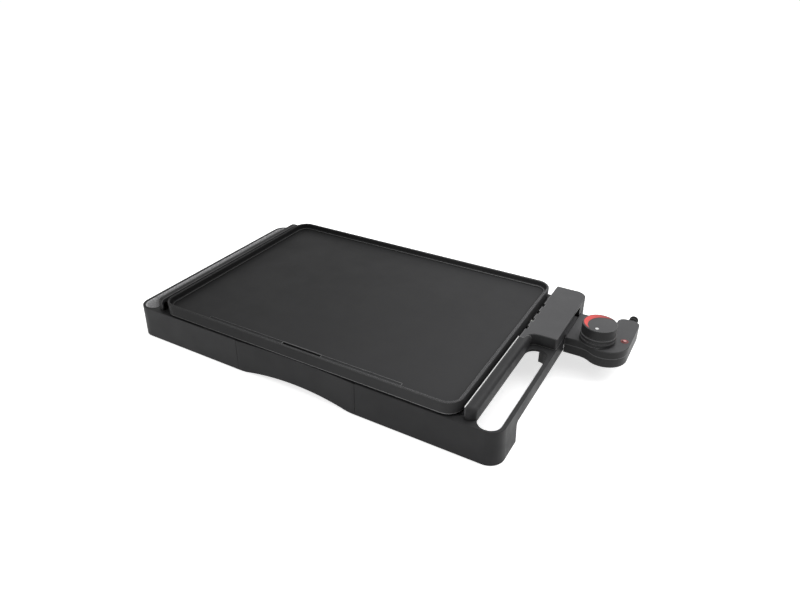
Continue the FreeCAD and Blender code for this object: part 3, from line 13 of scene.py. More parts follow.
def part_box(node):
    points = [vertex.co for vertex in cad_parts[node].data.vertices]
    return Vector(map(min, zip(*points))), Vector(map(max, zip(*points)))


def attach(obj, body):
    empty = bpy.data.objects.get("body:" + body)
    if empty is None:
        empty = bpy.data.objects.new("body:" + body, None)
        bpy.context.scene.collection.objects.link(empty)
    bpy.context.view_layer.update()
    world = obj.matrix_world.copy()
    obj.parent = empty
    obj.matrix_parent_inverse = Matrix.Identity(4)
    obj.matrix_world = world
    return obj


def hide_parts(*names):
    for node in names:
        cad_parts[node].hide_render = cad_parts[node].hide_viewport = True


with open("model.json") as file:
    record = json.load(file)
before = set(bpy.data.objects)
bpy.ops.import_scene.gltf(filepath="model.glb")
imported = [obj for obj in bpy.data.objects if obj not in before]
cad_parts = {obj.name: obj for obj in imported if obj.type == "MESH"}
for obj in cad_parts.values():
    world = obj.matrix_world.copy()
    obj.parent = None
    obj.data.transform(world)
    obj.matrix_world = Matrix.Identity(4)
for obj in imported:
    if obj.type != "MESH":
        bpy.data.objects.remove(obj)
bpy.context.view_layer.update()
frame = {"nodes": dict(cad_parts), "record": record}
nodes = frame["nodes"]
scene = bpy.context.scene
scene.view_settings.view_transform = "Standard"

# The part of a noise's range that most of its values lie in
NOISE_LOW, NOISE_HIGH = 0.35, 0.65
NOISE_ROUGHNESS = 0.55
DRIFT_DETAIL, SHEEN_DETAIL, GRAIN_DETAIL = 4.0, 3.0, 2.0
SHEEN_FINER = 2.3

# Painted light on upward faces, painted highlights on edges and painted shade in corners and seams
FACING_UP = (0.6, 0.95)
TOP_LIGHTER = 1.12
# Share of the dark colour that upward faces take at the shaded end of the painted top shade
TOP_SHADE_SHARE = 0.35
# Painted highlights along outer edges: how far in they reach, the span that sets them, and the height
# over which they come in
EDGE_HIGHLIGHT_REACH, EDGE_HIGHLIGHT_SPAN = 0.0014, (0.6, 0.9)
EDGE_HIGHLIGHT_COMES_IN = 0.003
# Painted shade in corners, seams and gaps between parts
CREVICE_SHADE_REACH, CREVICE_SHADE_SPAN = 0.006, (0.12, 0.62)
CREVICE_SHADE = (0.004, 0.004, 0.004)
# Painted light: the colour that upward faces of the housings and knob take
HOUSING_TOP_LIT = (0.070, 0.070, 0.072)
# Painted highlight: the colour along the outer edges of the housings and knob
HOUSING_EDGE_HIGHLIGHT = (0.22, 0.22, 0.222)

# Turned pieces
SHARP_ANGLE = math.radians(40)
SAME_POINT = 1e-6
SAME_LEVEL = 1e-4
KNOB_GRIP = 0.0221

# Light and floor
AMBIENT = 0.38
PURE_WHITE = (1.0, 1.0, 1.0, 1.0)
FLOOR_COLOR = (0.86, 0.86, 0.86, 1.0)
FLOOR_GLOW = 0.67
FLOOR_REACH = 6


# Materials
def links(tree, source, target):
    tree.links.new(source, target)


def noise(tree, coords, scale, detail):
    item = tree.nodes.new("ShaderNodeTexNoise")
    item.inputs["Scale"].default_value = scale
    item.inputs["Detail"].default_value = detail
    item.inputs["Roughness"].default_value = NOISE_ROUGHNESS
    links(tree, coords, item.inputs["Vector"])
    return item.outputs["Fac"]


def remap(tree, value, low, high, near=NOISE_LOW, far=NOISE_HIGH):
    """Low where the value is at near, high where it is at far, and even between them."""
    item = tree.nodes.new("ShaderNodeMapRange")
    item.inputs["From Min"].default_value = near
    item.inputs["From Max"].default_value = far
    item.inputs["To Min"].default_value = low
    item.inputs["To Max"].default_value = high
    links(tree, value, item.inputs["Value"])
    return item.outputs["Result"]


def blend_colors(tree, factor, first, second):
    """The first colour where the factor is 0 and the second where it is 1."""
    item = tree.nodes.new("ShaderNodeMix")
    item.data_type = "RGBA"
    links(tree, factor, item.inputs["Factor"])
    for key, color in (("A", first), ("B", second)):
        socket = next(i for i in item.inputs if i.name == key and i.type == "RGBA")
        if isinstance(color, bpy.types.NodeSocket):
            links(tree, color, socket)
        else:
            socket.default_value = (*color, 1.0)
    return next(o for o in item.outputs if o.type == "RGBA")


def coordinates(tree, kind):
    return tree.nodes.new("ShaderNodeTexCoord").outputs[kind]


def position(tree, kind):
    """One of the piece's own coordinates, split into its three parts."""
    parts = tree.nodes.new("ShaderNodeSeparateXYZ")
    links(tree, coordinates(tree, kind), parts.inputs["Vector"])
    return parts.outputs


def product(tree, first, second):
    item = tree.nodes.new("ShaderNodeMath")
    item.operation = "MULTIPLY"
    links(tree, first, item.inputs[0])
    links(tree, second, item.inputs[1])
    return item.outputs[0]


def openness(tree, distance):
    """How open the surface is close by: 1 on flats and outer edges, less in corners and seams."""
    item = tree.nodes.new("ShaderNodeAmbientOcclusion")
    item.samples = 6
    item.inputs["Distance"].default_value = distance
    return item.outputs["AO"]


def painted_edge_highlight(tree, reach):
    """1 along the outer edges and small roundings, where a highlight is painted into the colour: rays
    that start into the wall there come out again close by."""
    item = tree.nodes.new("ShaderNodeAmbientOcclusion")
    item.samples = 8
    item.inside = True
    item.inputs["Distance"].default_value = reach
    return remap(tree, item.outputs["AO"], 1.0, 0.0, *EDGE_HIGHLIGHT_SPAN)


def surface(name, dark, light, rough, mottle=18.0, grain=900.0, bump=0.12, depth=0.0002, metallic=0.0,
            edge=0.0006, stretch=(1, 1, 1), specular=0.3, top=None, fade=None, wear=None, worn_above=None,
            seam=None, **constants):
    """A material with drifting colour and gloss, a fine grain, softened edges, and, where named, a
    painted light or shade on what faces up, painted highlights along outer edges and painted shade in
    corners and seams. A stretch of X may be given over which the upper colour comes in out of a painted
    shade, and a height above which the painted highlight does."""
    mat = bpy.data.materials.new(name)
    mat.use_nodes = True
    tree = mat.node_tree
    shader = tree.nodes["Principled BSDF"]
    mapping = tree.nodes.new("ShaderNodeMapping")
    mapping.inputs["Scale"].default_value = stretch
    links(tree, coordinates(tree, "Object"), mapping.inputs["Vector"])
    coords = mapping.outputs["Vector"]
    drift = noise(tree, coords, mottle, DRIFT_DETAIL)
    color = blend_colors(tree, remap(tree, drift, 0.0, 1.0), dark, light)
    # Painted light and shade: upward faces take a colour of their own, standing in for light from above
    if top:
        facing = remap(tree, position(tree, "Normal")["Z"], 0.0, 1.0, *FACING_UP)
        lighter = [TOP_LIGHTER * part for part in top]
        upper = blend_colors(tree, remap(tree, drift, 0.0, 1.0), top, lighter)
        # Painted shade: the upward colour darkens over this stretch of X toward its low end
        if fade:
            inward = remap(tree, position(tree, "Object")["X"], 0.0, 1.0, *fade)
            upper = blend_colors(tree, inward, [TOP_SHADE_SHARE * part for part in dark], upper)
        color = blend_colors(tree, facing, color, upper)
    # Painted highlight: outer edges take a lighter colour, standing in for light glinting off them
    if wear:
        highlit = painted_edge_highlight(tree, EDGE_HIGHLIGHT_REACH)
        if worn_above:
            full = worn_above + EDGE_HIGHLIGHT_COMES_IN
            above = remap(tree, position(tree, "Object")["Z"], 0.0, 1.0, worn_above, full)
            highlit = product(tree, highlit, above)
        color = blend_colors(tree, highlit, color, wear)
    # Painted shade: the colour darkens toward near black in corners, seams and gaps, where occlusion is
    # high
    if seam:
        clear = remap(tree, openness(tree, CREVICE_SHADE_REACH), 0.0, 1.0, *CREVICE_SHADE_SPAN)
        color = blend_colors(tree, clear, seam, color)
    links(tree, color, shader.inputs["Base Color"])
    sheen = noise(tree, coords, mottle * SHEEN_FINER, SHEEN_DETAIL)
    links(tree, remap(tree, sheen, rough[0], rough[1]), shader.inputs["Roughness"])
    item = tree.nodes.new("ShaderNodeBump")
    item.inputs["Strength"].default_value = bump
    item.inputs["Distance"].default_value = depth
    links(tree, noise(tree, coords, grain, GRAIN_DETAIL), item.inputs["Height"])
    if edge:
        bevel = tree.nodes.new("ShaderNodeBevel")
        bevel.samples = 4
        bevel.inputs["Radius"].default_value = edge
        links(tree, bevel.outputs["Normal"], item.inputs["Normal"])
    links(tree, item.outputs["Normal"], shader.inputs["Normal"])
    shader.inputs["Metallic"].default_value = metallic
    shader.inputs["Specular IOR Level"].default_value = specular
    for key, value in constants.items():
        shader.inputs[key.replace("_", " ")].default_value = value
    return mat, tree, shader, color


def plain(*args, **settings):
    return surface(*args, **settings)[0]


def coating():
    """Non-stick coating with pale specks, painted darker toward the left and lighter toward the right as
    a painted light, and bare casting below.
    """
    speck_scale, speck_size, speck_share, speck_color = 520.0, 0.2, 0.2, (0.05, 0.05, 0.051)
    left_end, right_end = -0.3, 0.2
    left_painted_shade, right_painted_light = 0.45, 2.0
    facing_down, facing_aside = -0.9, -0.7
    casting = (0.42, 0.42, 0.42)
    mat, tree, shader, color = surface(
        "plate_coating", (0.022, 0.022, 0.0225), (0.026, 0.026, 0.0265), (0.42, 0.5), mottle=9.0,
        grain=1300.0, bump=0.2, edge=0.0007, specular=0.07, top=(0.020, 0.020, 0.0205),
        wear=(0.2, 0.2, 0.202), seam=CREVICE_SHADE)
    speck = tree.nodes.new("ShaderNodeTexVoronoi")
    speck.inputs["Scale"].default_value = speck_scale
    links(tree, coordinates(tree, "Object"), speck.inputs["Vector"])
    dots = remap(tree, speck.outputs["Distance"], speck_size, 0.0, 0.0, speck_share)
    speckled = blend_colors(tree, dots, color, speck_color)
    # Painted light and shade: the coating's colour is scaled from darker at the left end to lighter at
    # the right
    across = remap(tree, position(tree, "Object")["X"], left_painted_shade, right_painted_light, left_end, right_end)
    lit_across = tree.nodes.new("ShaderNodeVectorMath")
    lit_across.operation = "SCALE"
    links(tree, speckled, lit_across.inputs[0])
    links(tree, across, lit_across.inputs["Scale"])
    below = remap(tree, position(tree, "Normal")["Z"], 1.0, 0.0, facing_down, facing_aside)
    links(tree, blend_colors(tree, below, lit_across.outputs[0], casting), shader.inputs["Base Color"])
    links(tree, below, shader.inputs["Metallic"])
    return mat


def reflector_steel():
    """Bright along the rolled upper edge, and near black below it, a painted shade for the dark gap
    beside the plate.
    """
    dark_below, bright_above = 0.0630, 0.0636
    gap_shade = (0.05, 0.05, 0.052)
    mat, tree, shader, color = surface(
        "bright_steel", (0.72, 0.72, 0.72), (0.85, 0.85, 0.84), (0.25, 0.35), grain=500.0, bump=0.1,
        metallic=1.0, stretch=(1, 14, 14), edge=0.0002)
    # Painted shade: below the rolled edge the steel turns near black
    rim = remap(tree, position(tree, "Object")["Z"], 0.0, 1.0, dark_below, bright_above)
    links(tree, blend_colors(tree, rim, gap_shade, color), shader.inputs["Base Color"])
    return mat


def mark_print():
    """Red print of the dial's scale, lighter at its broad end and deeper along its tail."""
    even_end = 0.004
    print_edge, bare_rim = 0.0197, 0.0206
    tail, rim_color = (0.16, 0.05, 0.05), (0.03, 0.012, 0.012)
    mat, tree, shader, color = surface(
        "mark_red", (0.66, 0.055, 0.05), (0.74, 0.08, 0.07), (0.3, 0.4), mottle=120.0, edge=0.0,
        specular=0.4)
    low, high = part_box("knob_mark")
    along = remap(tree, position(tree, "Object")["X"], 0.0, 1.0, low[0] + even_end, high[0])
    length = blend_colors(tree, along, color, tail)
    outward = ring_mask(tree, "control_knob", print_edge, bare_rim)
    links(tree, blend_colors(tree, outward, length, rim_color), shader.inputs["Base Color"])
    return mat


def ring_mask(tree, node, inner, outer):
    """0 within the inner radius about the node's upright axis, and 1 beyond the outer one."""
    low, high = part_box(node)
    flat = tree.nodes.new("ShaderNodeVectorMath")
    flat.operation = "MULTIPLY"
    flat.inputs[1].default_value = (1, 1, 0)
    links(tree, coordinates(tree, "Object"), flat.inputs[0])
    reach = tree.nodes.new("ShaderNodeVectorMath")
    reach.operation = "DISTANCE"
    reach.inputs[1].default_value = ((low[0] + high[0]) / 2, (low[1] + high[1]) / 2, 0)
    links(tree, flat.outputs[0], reach.inputs[0])
    return remap(tree, reach.outputs["Value"], 0.0, 1.0, inner, outer)


def lens_paint():
    """Tinted lens with the lamp's glow in its middle."""
    glow_radius, dark_radius = 0.0011, 0.0024
    rim_color = (0.13, 0.02, 0.02)
    mat, tree, shader, color = surface(
        "lens_red", (0.68, 0.22, 0.21), (0.8, 0.3, 0.28), (0.12, 0.2), bump=0.04, edge=0.0,
        Coat_Weight=0.6)
    outward = ring_mask(tree, "indicator_lens", glow_radius, dark_radius)
    links(tree, blend_colors(tree, outward, color, rim_color), shader.inputs["Base Color"])
    return mat


def ring_paint():
    return plain("lens_ring", (0.17, 0.028, 0.026), (0.21, 0.036, 0.034), (0.3, 0.4), mottle=150.0,
                 edge=0.0)


def grip():
    """Light grained liner, with painted shade where it runs back under the socket's cover, and painted
    shade deep down except at its front end."""
    right_half, under_cover = (0.0, 0.01), (-0.06, -0.01)
    past_front_end = (-0.138, -0.122)
    deep_below, light_above = 0.0405, 0.0445
    cover_shade, shade = (0.022, 0.022, 0.023), (0.04, 0.04, 0.041)
    mat, tree, shader, color = surface(
        "grip_plastic", (0.42, 0.42, 0.43), (0.72, 0.72, 0.73), (0.45, 0.55), mottle=420.0, grain=700.0,
        bump=0.4)
    place = position(tree, "Object")
    # Painted shade: the back of the right liner darkens where it runs under the socket's cover
    right = remap(tree, place["X"], 0.0, 1.0, *right_half)
    back = remap(tree, place["Y"], 0.0, 1.0, *under_cover)
    cover_shaded = blend_colors(tree, product(tree, right, back), color, cover_shade)
    # Painted shade: deep down in the slot the liner darkens, except at its front end
    along = remap(tree, place["Y"], 0.0, 1.0, *past_front_end)
    deep = remap(tree, place["Z"], 1.0, 0.0, deep_below, light_above)
    shaded = blend_colors(tree, product(tree, along, deep), cover_shaded, shade)
    links(tree, shaded, shader.inputs["Base Color"])
    return mat


# Below, colours given for upward faces are painted light, those for edges are painted highlights, and the
# near black for corners is painted shade
paint = {
    "base_plastic": plain("base_plastic", (0.026, 0.026, 0.027), (0.032, 0.032, 0.033), (0.42, 0.52),
                          specular=0.12, top=(0.032, 0.032, 0.033), fade=(-0.26, -0.16),
                          wear=(0.12, 0.12, 0.122), worn_above=0.05, seam=CREVICE_SHADE),
    "cover_plastic": plain("cover_plastic", (0.030, 0.030, 0.031), (0.036, 0.036, 0.037), (0.46, 0.55),
                           specular=0.16, top=HOUSING_TOP_LIT, wear=HOUSING_EDGE_HIGHLIGHT, seam=CREVICE_SHADE),
    "plate_coating": coating(),
    "bright_steel": reflector_steel(),
    "heater_tube": plain("heater_tube", (0.06, 0.055, 0.05), (0.13, 0.12, 0.11), (0.4, 0.6),
                         mottle=60.0, metallic=0.7, edge=0.0018),
    "clip_steel": plain("clip_steel", (0.42, 0.42, 0.41), (0.55, 0.55, 0.54), (0.3, 0.45), metallic=1.0,
                        edge=0.0002),
    "pin_metal": plain("pin_metal", (0.52, 0.5, 0.46), (0.64, 0.62, 0.58), (0.2, 0.3), metallic=1.0,
                       edge=0.0),
    "ceramic": plain("ceramic", (0.72, 0.69, 0.62), (0.8, 0.77, 0.7), (0.3, 0.4), mottle=90.0),
    "drawer_plastic": plain("drawer_plastic", (0.025, 0.025, 0.026), (0.030, 0.030, 0.031),
                            (0.42, 0.52), specular=0.12, seam=CREVICE_SHADE),
    "runner_plastic": plain("runner_plastic", (0.05, 0.05, 0.05), (0.06, 0.06, 0.06), (0.5, 0.6)),
    "grip_plastic": grip(),
    "foot_rubber": plain("foot_rubber", (0.02, 0.02, 0.02), (0.035, 0.035, 0.035), (0.7, 0.85)),
    "screw_steel": plain("screw_steel", (0.42, 0.42, 0.4), (0.55, 0.55, 0.53), (0.25, 0.4),
                         mottle=200.0, metallic=1.0, edge=0.0),
    "shell_plastic": plain("shell_plastic", (0.022, 0.022, 0.0225), (0.027, 0.027, 0.0275), (0.4, 0.5),
                           specular=0.16, top=HOUSING_TOP_LIT, wear=(0.1, 0.1, 0.102), seam=CREVICE_SHADE),
    "nose_plastic": plain("nose_plastic", (0.05, 0.05, 0.052), (0.06, 0.06, 0.062), (0.45, 0.6)),
    "contact_brass": plain("contact_brass", (0.6, 0.45, 0.2), (0.72, 0.56, 0.27), (0.25, 0.4),
                           metallic=1.0, edge=0.0),
    "probe_steel": plain("probe_steel", (0.6, 0.6, 0.6), (0.7, 0.7, 0.7), (0.1, 0.2), metallic=1.0,
                         edge=0.0008),
    "unit_plastic": plain("unit_plastic", (0.16, 0.07, 0.035), (0.22, 0.1, 0.05), (0.4, 0.55)),
    "knob_plastic": plain("knob_plastic", (0.016, 0.016, 0.0165), (0.020, 0.020, 0.0205), (0.38, 0.48),
                          specular=0.16, top=HOUSING_TOP_LIT, wear=HOUSING_EDGE_HIGHLIGHT, edge=0.0),
    "mark_red": mark_print(),
    "mark_white": plain("mark_white", (0.6, 0.6, 0.6), (0.7, 0.7, 0.7), (0.4, 0.5), edge=0.0),
    "lens_red": lens_paint(),
    "lamp_glass": plain("lamp_glass", (0.8, 0.5, 0.4), (0.85, 0.6, 0.5), (0.05, 0.1), bump=0.02,
                        edge=0.0),
    "gland_rubber": plain("gland_rubber", (0.010, 0.010, 0.010), (0.014, 0.014, 0.014), (0.45, 0.55),
                          specular=0.2, edge=0.0),
}

slots = {entry["node"]: entry["material_slot"] for entry in frame["record"]["subparts"]}
for name, item in nodes.items():
    item.data.materials.clear()
    item.data.materials.append(paint[slots[name]])


# Turned pieces and fasteners
bodies = frame["record"]["behaviour"]["bodies"]
carried_by = {node: body for body, group in bodies.items() for node in group}


def around(radius, turns):
    """Even places round a circle, as pairs."""
    angles = [2 * math.pi * k / turns for k in range(turns)]
    return [(radius * math.cos(angle), radius * math.sin(angle)) for angle in angles]


def turned(mesh, profile, middle, axis="Z", turns=48, closed=False):
    """Turn (radius, height) points about an axis through the middle point."""
    rings = []
    for radius, height in profile:
        ring = []
        for x, y in around(radius, turns if radius else 1):
            if axis == "Z":
                ring.append(mesh.verts.new((middle[0] + x, middle[1] + y, height)))
            else:
                ring.append(mesh.verts.new((middle[0] + x, height, middle[2] + y)))
        rings.append(ring)
    pairs = list(zip(rings, rings[1:]))
    if closed:
        pairs.append((rings[-1], rings[0]))
    for one, two in pairs:
        for k in range(turns):
            after = k + 1
            corners = (one[k % len(one)], two[k % len(two)],
                       two[after % len(two)], one[after % len(one)])
            mesh.faces.new(list(dict.fromkeys(corners)))


def keep(mesh, name, node, body=None, slot=None, material=None):
    """Make the built mesh a smooth piece that rides with its body and stands for its node."""
    bmesh.ops.recalc_face_normals(mesh, faces=mesh.faces)
    data = bpy.data.meshes.new(name)
    mesh.to_mesh(data)
    mesh.free()
    for face in data.polygons:
        face.use_smooth = True
    data.set_sharp_from_angle(angle=SHARP_ANGLE)
    item = bpy.data.objects.new(name, data)
    scene.collection.objects.link(item)
    slot = slot or slots[node]
    data.materials.append(material or paint[slot])
    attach(item, body or carried_by[node])
    if node:
        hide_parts(node)


def islands(node):
    """The separate solids of a node, each as a list of corner points, in the same order each run."""
    mesh = bmesh.new()
    mesh.from_mesh(nodes[node].data)
    bmesh.ops.remove_doubles(mesh, verts=mesh.verts, dist=SAME_POINT)
    found, seen = [], set()
    for start in mesh.verts:
        if start in seen:
            continue
        seen.add(start)
        group = [start]
        for vert in group:
            for link in vert.link_edges:
                other = link.other_vert(vert)
                if other not in seen:
                    seen.add(other)
                    group.append(other)
        found.append([vert.co.copy() for vert in group])
    mesh.free()
    return found


def span(points):
    """Lowest and highest corner of the box round the points."""
    low = Vector(min(p[i] for p in points) for i in range(3))
    high = Vector(max(p[i] for p in points) for i in range(3))
    return low, high


def pan_head(head, shank, thick):
    """Outline of a pan head as (radius, height) points, from near its middle out to the shank.
    Heights run from the top of the crown toward the tip."""
    steps, crown, fall = 9, 0.32, 2.4
    shoulder, shoulder_height, rim_height = 0.97, 0.42, 0.62
    profile = [(head * k / steps, crown * thick * (k / steps) ** fall) for k in range(1, steps)]
    profile += [(head * shoulder, shoulder_height * thick), (head, rim_height * thick)]
    return profile + [(head, thick), (shank, thick)]


def screw(points, mesh):
    """Pan head with a cross recess and a threaded shank, in the space of the plain solid."""
    turns = 40
    cross_half, cross_reach, cross_depth, cross_end = 0.16, 0.62, 0.55, 0.8
    centre_depth = 0.5
    thread_pitch, thread_depth, thread_step = 0.0009, 0.00022, 0.0002
    fewest_steps, taper_start, taper_rate = 8, 0.85, 3
    low, high = span(points)
    middle = (low + high) / 2

    def reach(z):
        level = [p for p in points if abs(p.z - z) < SAME_LEVEL]
        return max(((p.x - middle.x) ** 2 + (p.y - middle.y) ** 2) ** 0.5 for p in level)

    head_down = reach(low.z) > reach(high.z)
    tip = high.z if head_down else low.z
    outer = low.z if head_down else high.z
    way = 1 if head_down else -1
    head, shank = reach(outer), reach(tip)
    levels = sorted({round(p.z, 5) for p in points}, reverse=not head_down)
    thick = abs(levels[1] - levels[0])

    rings = []
    for radius, height in pan_head(head, shank, thick):
        ring = []
        for x, y in around(radius, turns):
            in_cross = min(abs(x), abs(y)) < cross_half * head and radius < cross_reach * head
            recess = cross_depth * thick * (1 - radius / (cross_end * head)) if in_cross else 0
            ring.append(mesh.verts.new((middle.x + x, middle.y + y, outer + way * (height + recess))))
        rings.append(ring)
    length = abs(tip - outer) - thick
    steps = max(fewest_steps, int(length / thread_step))
    for step in range(1, steps + 1):
        height = thick + length * step / steps
        taper = 1 - max(0.0, step / steps - taper_start) * taper_rate
        ring = []
        for k, (x, y) in enumerate(around(1, turns)):
            wave = (height / thread_pitch - way * k / turns) % 1
            radius = (shank - thread_depth * abs(2 * wave - 1)) * taper
            corner = (middle.x + radius * x, middle.y + radius * y, outer + way * height)
            ring.append(mesh.verts.new(corner))
        rings.append(ring)
    centre = mesh.verts.new((middle.x, middle.y, outer + way * centre_depth * thick))
    end = mesh.verts.new((middle.x, middle.y, tip))
    for k in range(turns):
        after = (k + 1) % turns
        mesh.faces.new((centre, rings[0][k], rings[0][after]))
        mesh.faces.new((end, rings[-1][after], rings[-1][k]))
        for one, two in zip(rings, rings[1:]):
            mesh.faces.new((one[k], two[k], two[after], one[after]))


def screws(node):
    mesh = bmesh.new()
    for points in islands(node):
        screw(points, mesh)
    keep(mesh, node + "_detailed", node)


def feet(node):
    """Round rubber feet with a grooved sole and a rolled rim, one for each plain solid."""
    groove_start, groove_middle, groove_end, groove_depth = 0.55, 0.6, 0.66, 0.0004
    roll_start, roll_middle, roll_low, roll_high = 0.86, 0.96, 0.0005, 0.0014
    mesh = bmesh.new()
    for points in islands(node):
        low, high = span(points)
        radius = min(high.x - low.x, high.y - low.y) / 2
        turned(mesh, [
            (0, low.z), (groove_start * radius, low.z), (groove_middle * radius, low.z + groove_depth),
            (groove_end * radius, low.z), (roll_start * radius, low.z),
            (roll_middle * radius, low.z + roll_low), (radius, low.z + roll_high),
            (radius, high.z), (0, high.z),
        ], (low + high) / 2)
    keep(mesh, node + "_detailed", node)


for node in carried_by:
    if node.endswith("_screws"):
        screws(node)
feet("rubber_feet")


# Controls
def knob():
    """Dial with a lightly grooved band, a rounded rim and a hollow underside with its hub."""
    rim, rim_turns = 0.0009, (0.4, 0.8, 1.2, math.pi / 2)
    band_height, neck, neck_rise, edge = 0.0114, 0.0006, 0.0005, 0.0004
    upper_ridge_end, lower_ridge_start = 0.0049, 0.0058
    groove, groove_start, groove_end = 0.0011, 0.0003, 0.0006
    wall, cap = 0.0022, 0.004
    hub_radius, hub_lift, bore_radius, bore_cap = 0.007, 0.0014, 0.0034, 0.005
    low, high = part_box("control_knob")
    middle = ((low[0] + high[0]) / 2, (low[1] + high[1]) / 2, 0)
    top, bottom = high[2], low[2]
    band = (high[0] - low[0]) / 2
    mesh = bmesh.new()
    profile = [(0, top), (KNOB_GRIP - rim, top)]
    profile += [(KNOB_GRIP - rim + rim * math.sin(turn), top - rim + rim * math.cos(turn))
                for turn in rim_turns]
    step = bottom + band_height
    profile += [(KNOB_GRIP, step + rim), (KNOB_GRIP - neck, step + neck_rise), (KNOB_GRIP - neck, step)]
    for ridge_top, ridge_bottom in ((step, step - upper_ridge_end), (step - lower_ridge_start, bottom)):
        profile += [(band - edge, ridge_top), (band, ridge_top - edge), (band, ridge_bottom + edge),
                    (band - edge, ridge_bottom)]
        if ridge_bottom > bottom:
            profile += [(band - groove, ridge_bottom - groove_start),
                        (band - groove, ridge_bottom - groove_end)]
    inner = KNOB_GRIP - wall
    profile += [(inner, bottom), (inner, top - cap), (hub_radius, top - cap),
                (hub_radius, bottom + hub_lift), (bore_radius, bottom + hub_lift),
                (bore_radius, top - bore_cap), (0, top - bore_cap)]
    turned(mesh, profile, middle, turns=128)
    keep(mesh, "control_knob_turned", "control_knob")


def lens():
    """Domed lens on its stem, and the thin ring round it."""
    stem_radius, dome_foot, dome_rise = 0.0018, 0.3, 0.7
    dome_turns = (0.25, 0.5, 0.75, 1.0, 1.25, math.pi / 2)
    ring_outline = ((0.0002, 0), (0.0002, 0.0003), (0.0006, 0.0005), (0.0013, 0.0005), (0.0017, 0.0002),
                    (0.0017, 0))
    low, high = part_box("indicator_lens")
    middle = ((low[0] + high[0]) / 2, (low[1] + high[1]) / 2, 0)
    radius = (high[0] - low[0]) / 2
    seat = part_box("controller_upper_shell")[1][2]
    rise = high[2] - seat
    dome = [(radius * math.sin(turn), seat + rise * (dome_foot + dome_rise * math.cos(turn)))
            for turn in dome_turns]
    stem = [(radius, seat), (stem_radius, seat), (stem_radius, low[2]), (0, low[2])]
    mesh = bmesh.new()
    turned(mesh, [(0, high[2]), *dome, *stem], middle, turns=48)
    keep(mesh, "indicator_lens_domed", "indicator_lens")
    ring = bmesh.new()
    turned(ring, [(radius + out, seat + up) for out, up in ring_outline], middle, turns=64, closed=True)
    keep(ring, "indicator_ring", None, body=carried_by["indicator_lens"], slot="lens_red",
         material=ring_paint())


def gland():
    """Soft ringed sleeve at the cord's exit, with its bore right through."""
    bore, ring, count = 0.0034, 0.0034, 4
    flange_share, flange_thick, flange_end = 0.8, 0.001, 0.0011
    neck, valley, edge, shrink, lead_in = 0.0045, 0.0048, 0.0006, 0.0004, 0.0005
    low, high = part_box("cable_gland")
    middle = ((low[0] + high[0]) / 2, 0, (low[2] + high[2]) / 2)
    radius = (high[0] - low[0]) / 2
    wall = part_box("controller_upper_shell")[1][1]
    pitch = (high[1] - ring - wall) / (count - 1)
    flange = radius * flange_share
    profile = [(bore, low[1]), (flange, low[1]), (flange, low[1] + flange_thick),
               (neck, low[1] + flange_end), (neck, wall)]
    for index in range(count):
        start = wall + pitch * index
        outer = radius - shrink * index / (count - 1)
        profile += [(valley, start), (outer - edge, start), (outer, start + edge),
                    (outer, start + ring - edge), (outer - edge, start + ring)]
        if index < count - 1:
            profile += [(valley, start + ring)]
    profile += [(bore + lead_in, high[1]), (bore, high[1] - lead_in)]
    mesh = bmesh.new()
    turned(mesh, profile, middle, axis="Y", turns=64, closed=True)
    keep(mesh, "cable_gland_ringed", "cable_gland")


knob()
lens()
gland()


# Floor, light and camera
def seen_directly(tree):
    """1 for the camera's rays and for those that metal and glass send on, and 0 for all others."""
    path = tree.nodes.new("ShaderNodeLightPath")
    most = path.outputs["Is Camera Ray"]
    for name in ("Is Glossy Ray", "Is Transmission Ray"):
        join = tree.nodes.new("ShaderNodeMath")
        join.operation = "MAXIMUM"
        links(tree, most, join.inputs[0])
        links(tree, path.outputs[name], join.inputs[1])
        most = join.outputs[0]
    return most


def choose(tree, unseen, seen, target):
    """Give the target one shader as it lights the scene and another as it is seen."""
    mix = tree.nodes.new("ShaderNodeMixShader")
    links(tree, seen_directly(tree), mix.inputs["Fac"])
    links(tree, unseen, mix.inputs[1])
    links(tree, seen, mix.inputs[2])
    links(tree, mix.outputs[0], target)


world = bpy.data.worlds.new("studio")
scene.world = world
world.use_nodes = True
tree = world.node_tree
ambient = tree.nodes["Background"]
ambient.inputs["Color"].default_value = PURE_WHITE
ambient.inputs["Strength"].default_value = AMBIENT
white = tree.nodes.new("ShaderNodeBackground")
white.inputs["Color"].default_value = PURE_WHITE
white.inputs["Strength"].default_value = 1.0
choose(tree, ambient.outputs[0], white.outputs[0], tree.nodes["World Output"].inputs["Surface"])

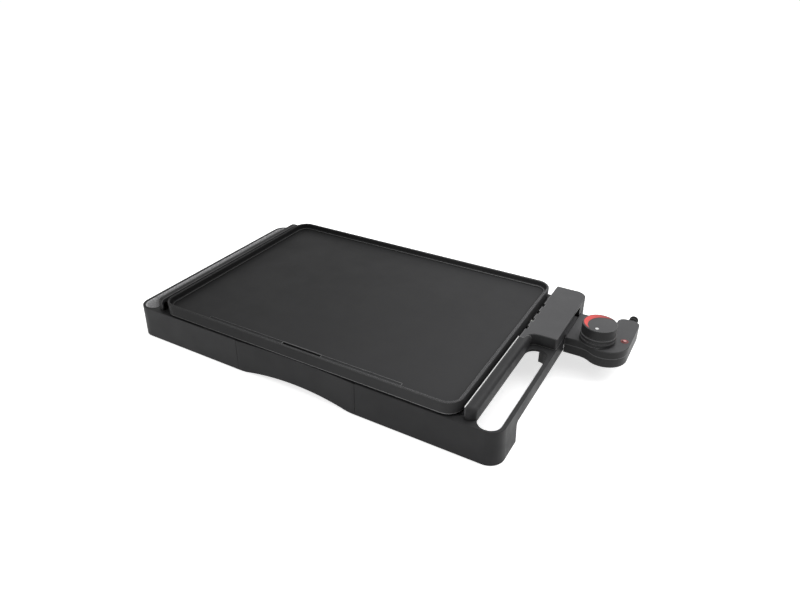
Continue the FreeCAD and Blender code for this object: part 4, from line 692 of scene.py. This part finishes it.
floor_mesh = bpy.data.meshes.new("floor")
floor_corners = [(x * FLOOR_REACH, y * FLOOR_REACH, 0) for x, y in ((-1, -1), (1, -1), (1, 1), (-1, 1))]
floor_mesh.from_pydata(floor_corners, [], [(0, 1, 2, 3)])
floor = bpy.data.objects.new("floor", floor_mesh)
scene.collection.objects.link(floor)
floor_mat = bpy.data.materials.new("floor")
floor_mat.use_nodes = True
tree = floor_mat.node_tree
matte = tree.nodes["Principled BSDF"]
matte.inputs["Base Color"].default_value = FLOOR_COLOR
matte.inputs["Roughness"].default_value = 0.9
matte.inputs["Specular IOR Level"].default_value = 0.1
glow = tree.nodes.new("ShaderNodeEmission")
glow.inputs["Strength"].default_value = FLOOR_GLOW
add = tree.nodes.new("ShaderNodeAddShader")
links(tree, matte.outputs[0], add.inputs[0])
links(tree, glow.outputs[0], add.inputs[1])
choose(tree, matte.outputs[0], add.outputs[0], tree.nodes["Material Output"].inputs["Surface"])
floor_mesh.materials.append(floor_mat)


def lamp(name, place, target, size, power):
    """A flat lamp of the given width and depth that faces its target."""
    data = bpy.data.lights.new(name, "AREA")
    data.shape = "RECTANGLE"
    data.size, data.size_y = size
    data.energy = power
    item = bpy.data.objects.new(name, data)
    scene.collection.objects.link(item)
    item.location = place
    item.rotation_euler = (Vector(target) - Vector(place)).to_track_quat("-Z", "Y").to_euler()


lamp("overhead", (-0.1, 0.2, 2.2), (0, 0, 0), (2.6, 2.2), 14)
lamp("back_right", (0.8, 0.6, 1.1), (0.1, 0, 0), (1.4, 1.3), 13)
lamp("front_left", (-1.9, -1.9, 1.3), (0, 0, 0), (1.6, 1.2), 18)

# The camera's place and directions, solved from the photograph's perspective
EYE_PLACE = (0.41164, -0.6664, 0.52)
EYE_RIGHT = (0.8657, 0.5006, -0.0025)
EYE_AHEAD = (-0.4337, 0.7475, -0.5031)
eye = bpy.data.cameras.new("camera")
eye.lens = 29.12
eye.sensor_width = 36.0
eye.shift_x = -0.000625
eye.shift_y = 0.000625
eye.clip_start = 0.02
eye.clip_end = 50.0
camera = bpy.data.objects.new("camera", eye)
scene.collection.objects.link(camera)
ahead = Vector(EYE_AHEAD).normalized()
up = Vector(EYE_RIGHT).normalized().cross(ahead).normalized()
right = ahead.cross(up)
camera.matrix_world = Matrix((
    (right.x, up.x, -ahead.x, EYE_PLACE[0]),
    (right.y, up.y, -ahead.y, EYE_PLACE[1]),
    (right.z, up.z, -ahead.z, EYE_PLACE[2]),
    (0, 0, 0, 1)))
scene.camera = camera
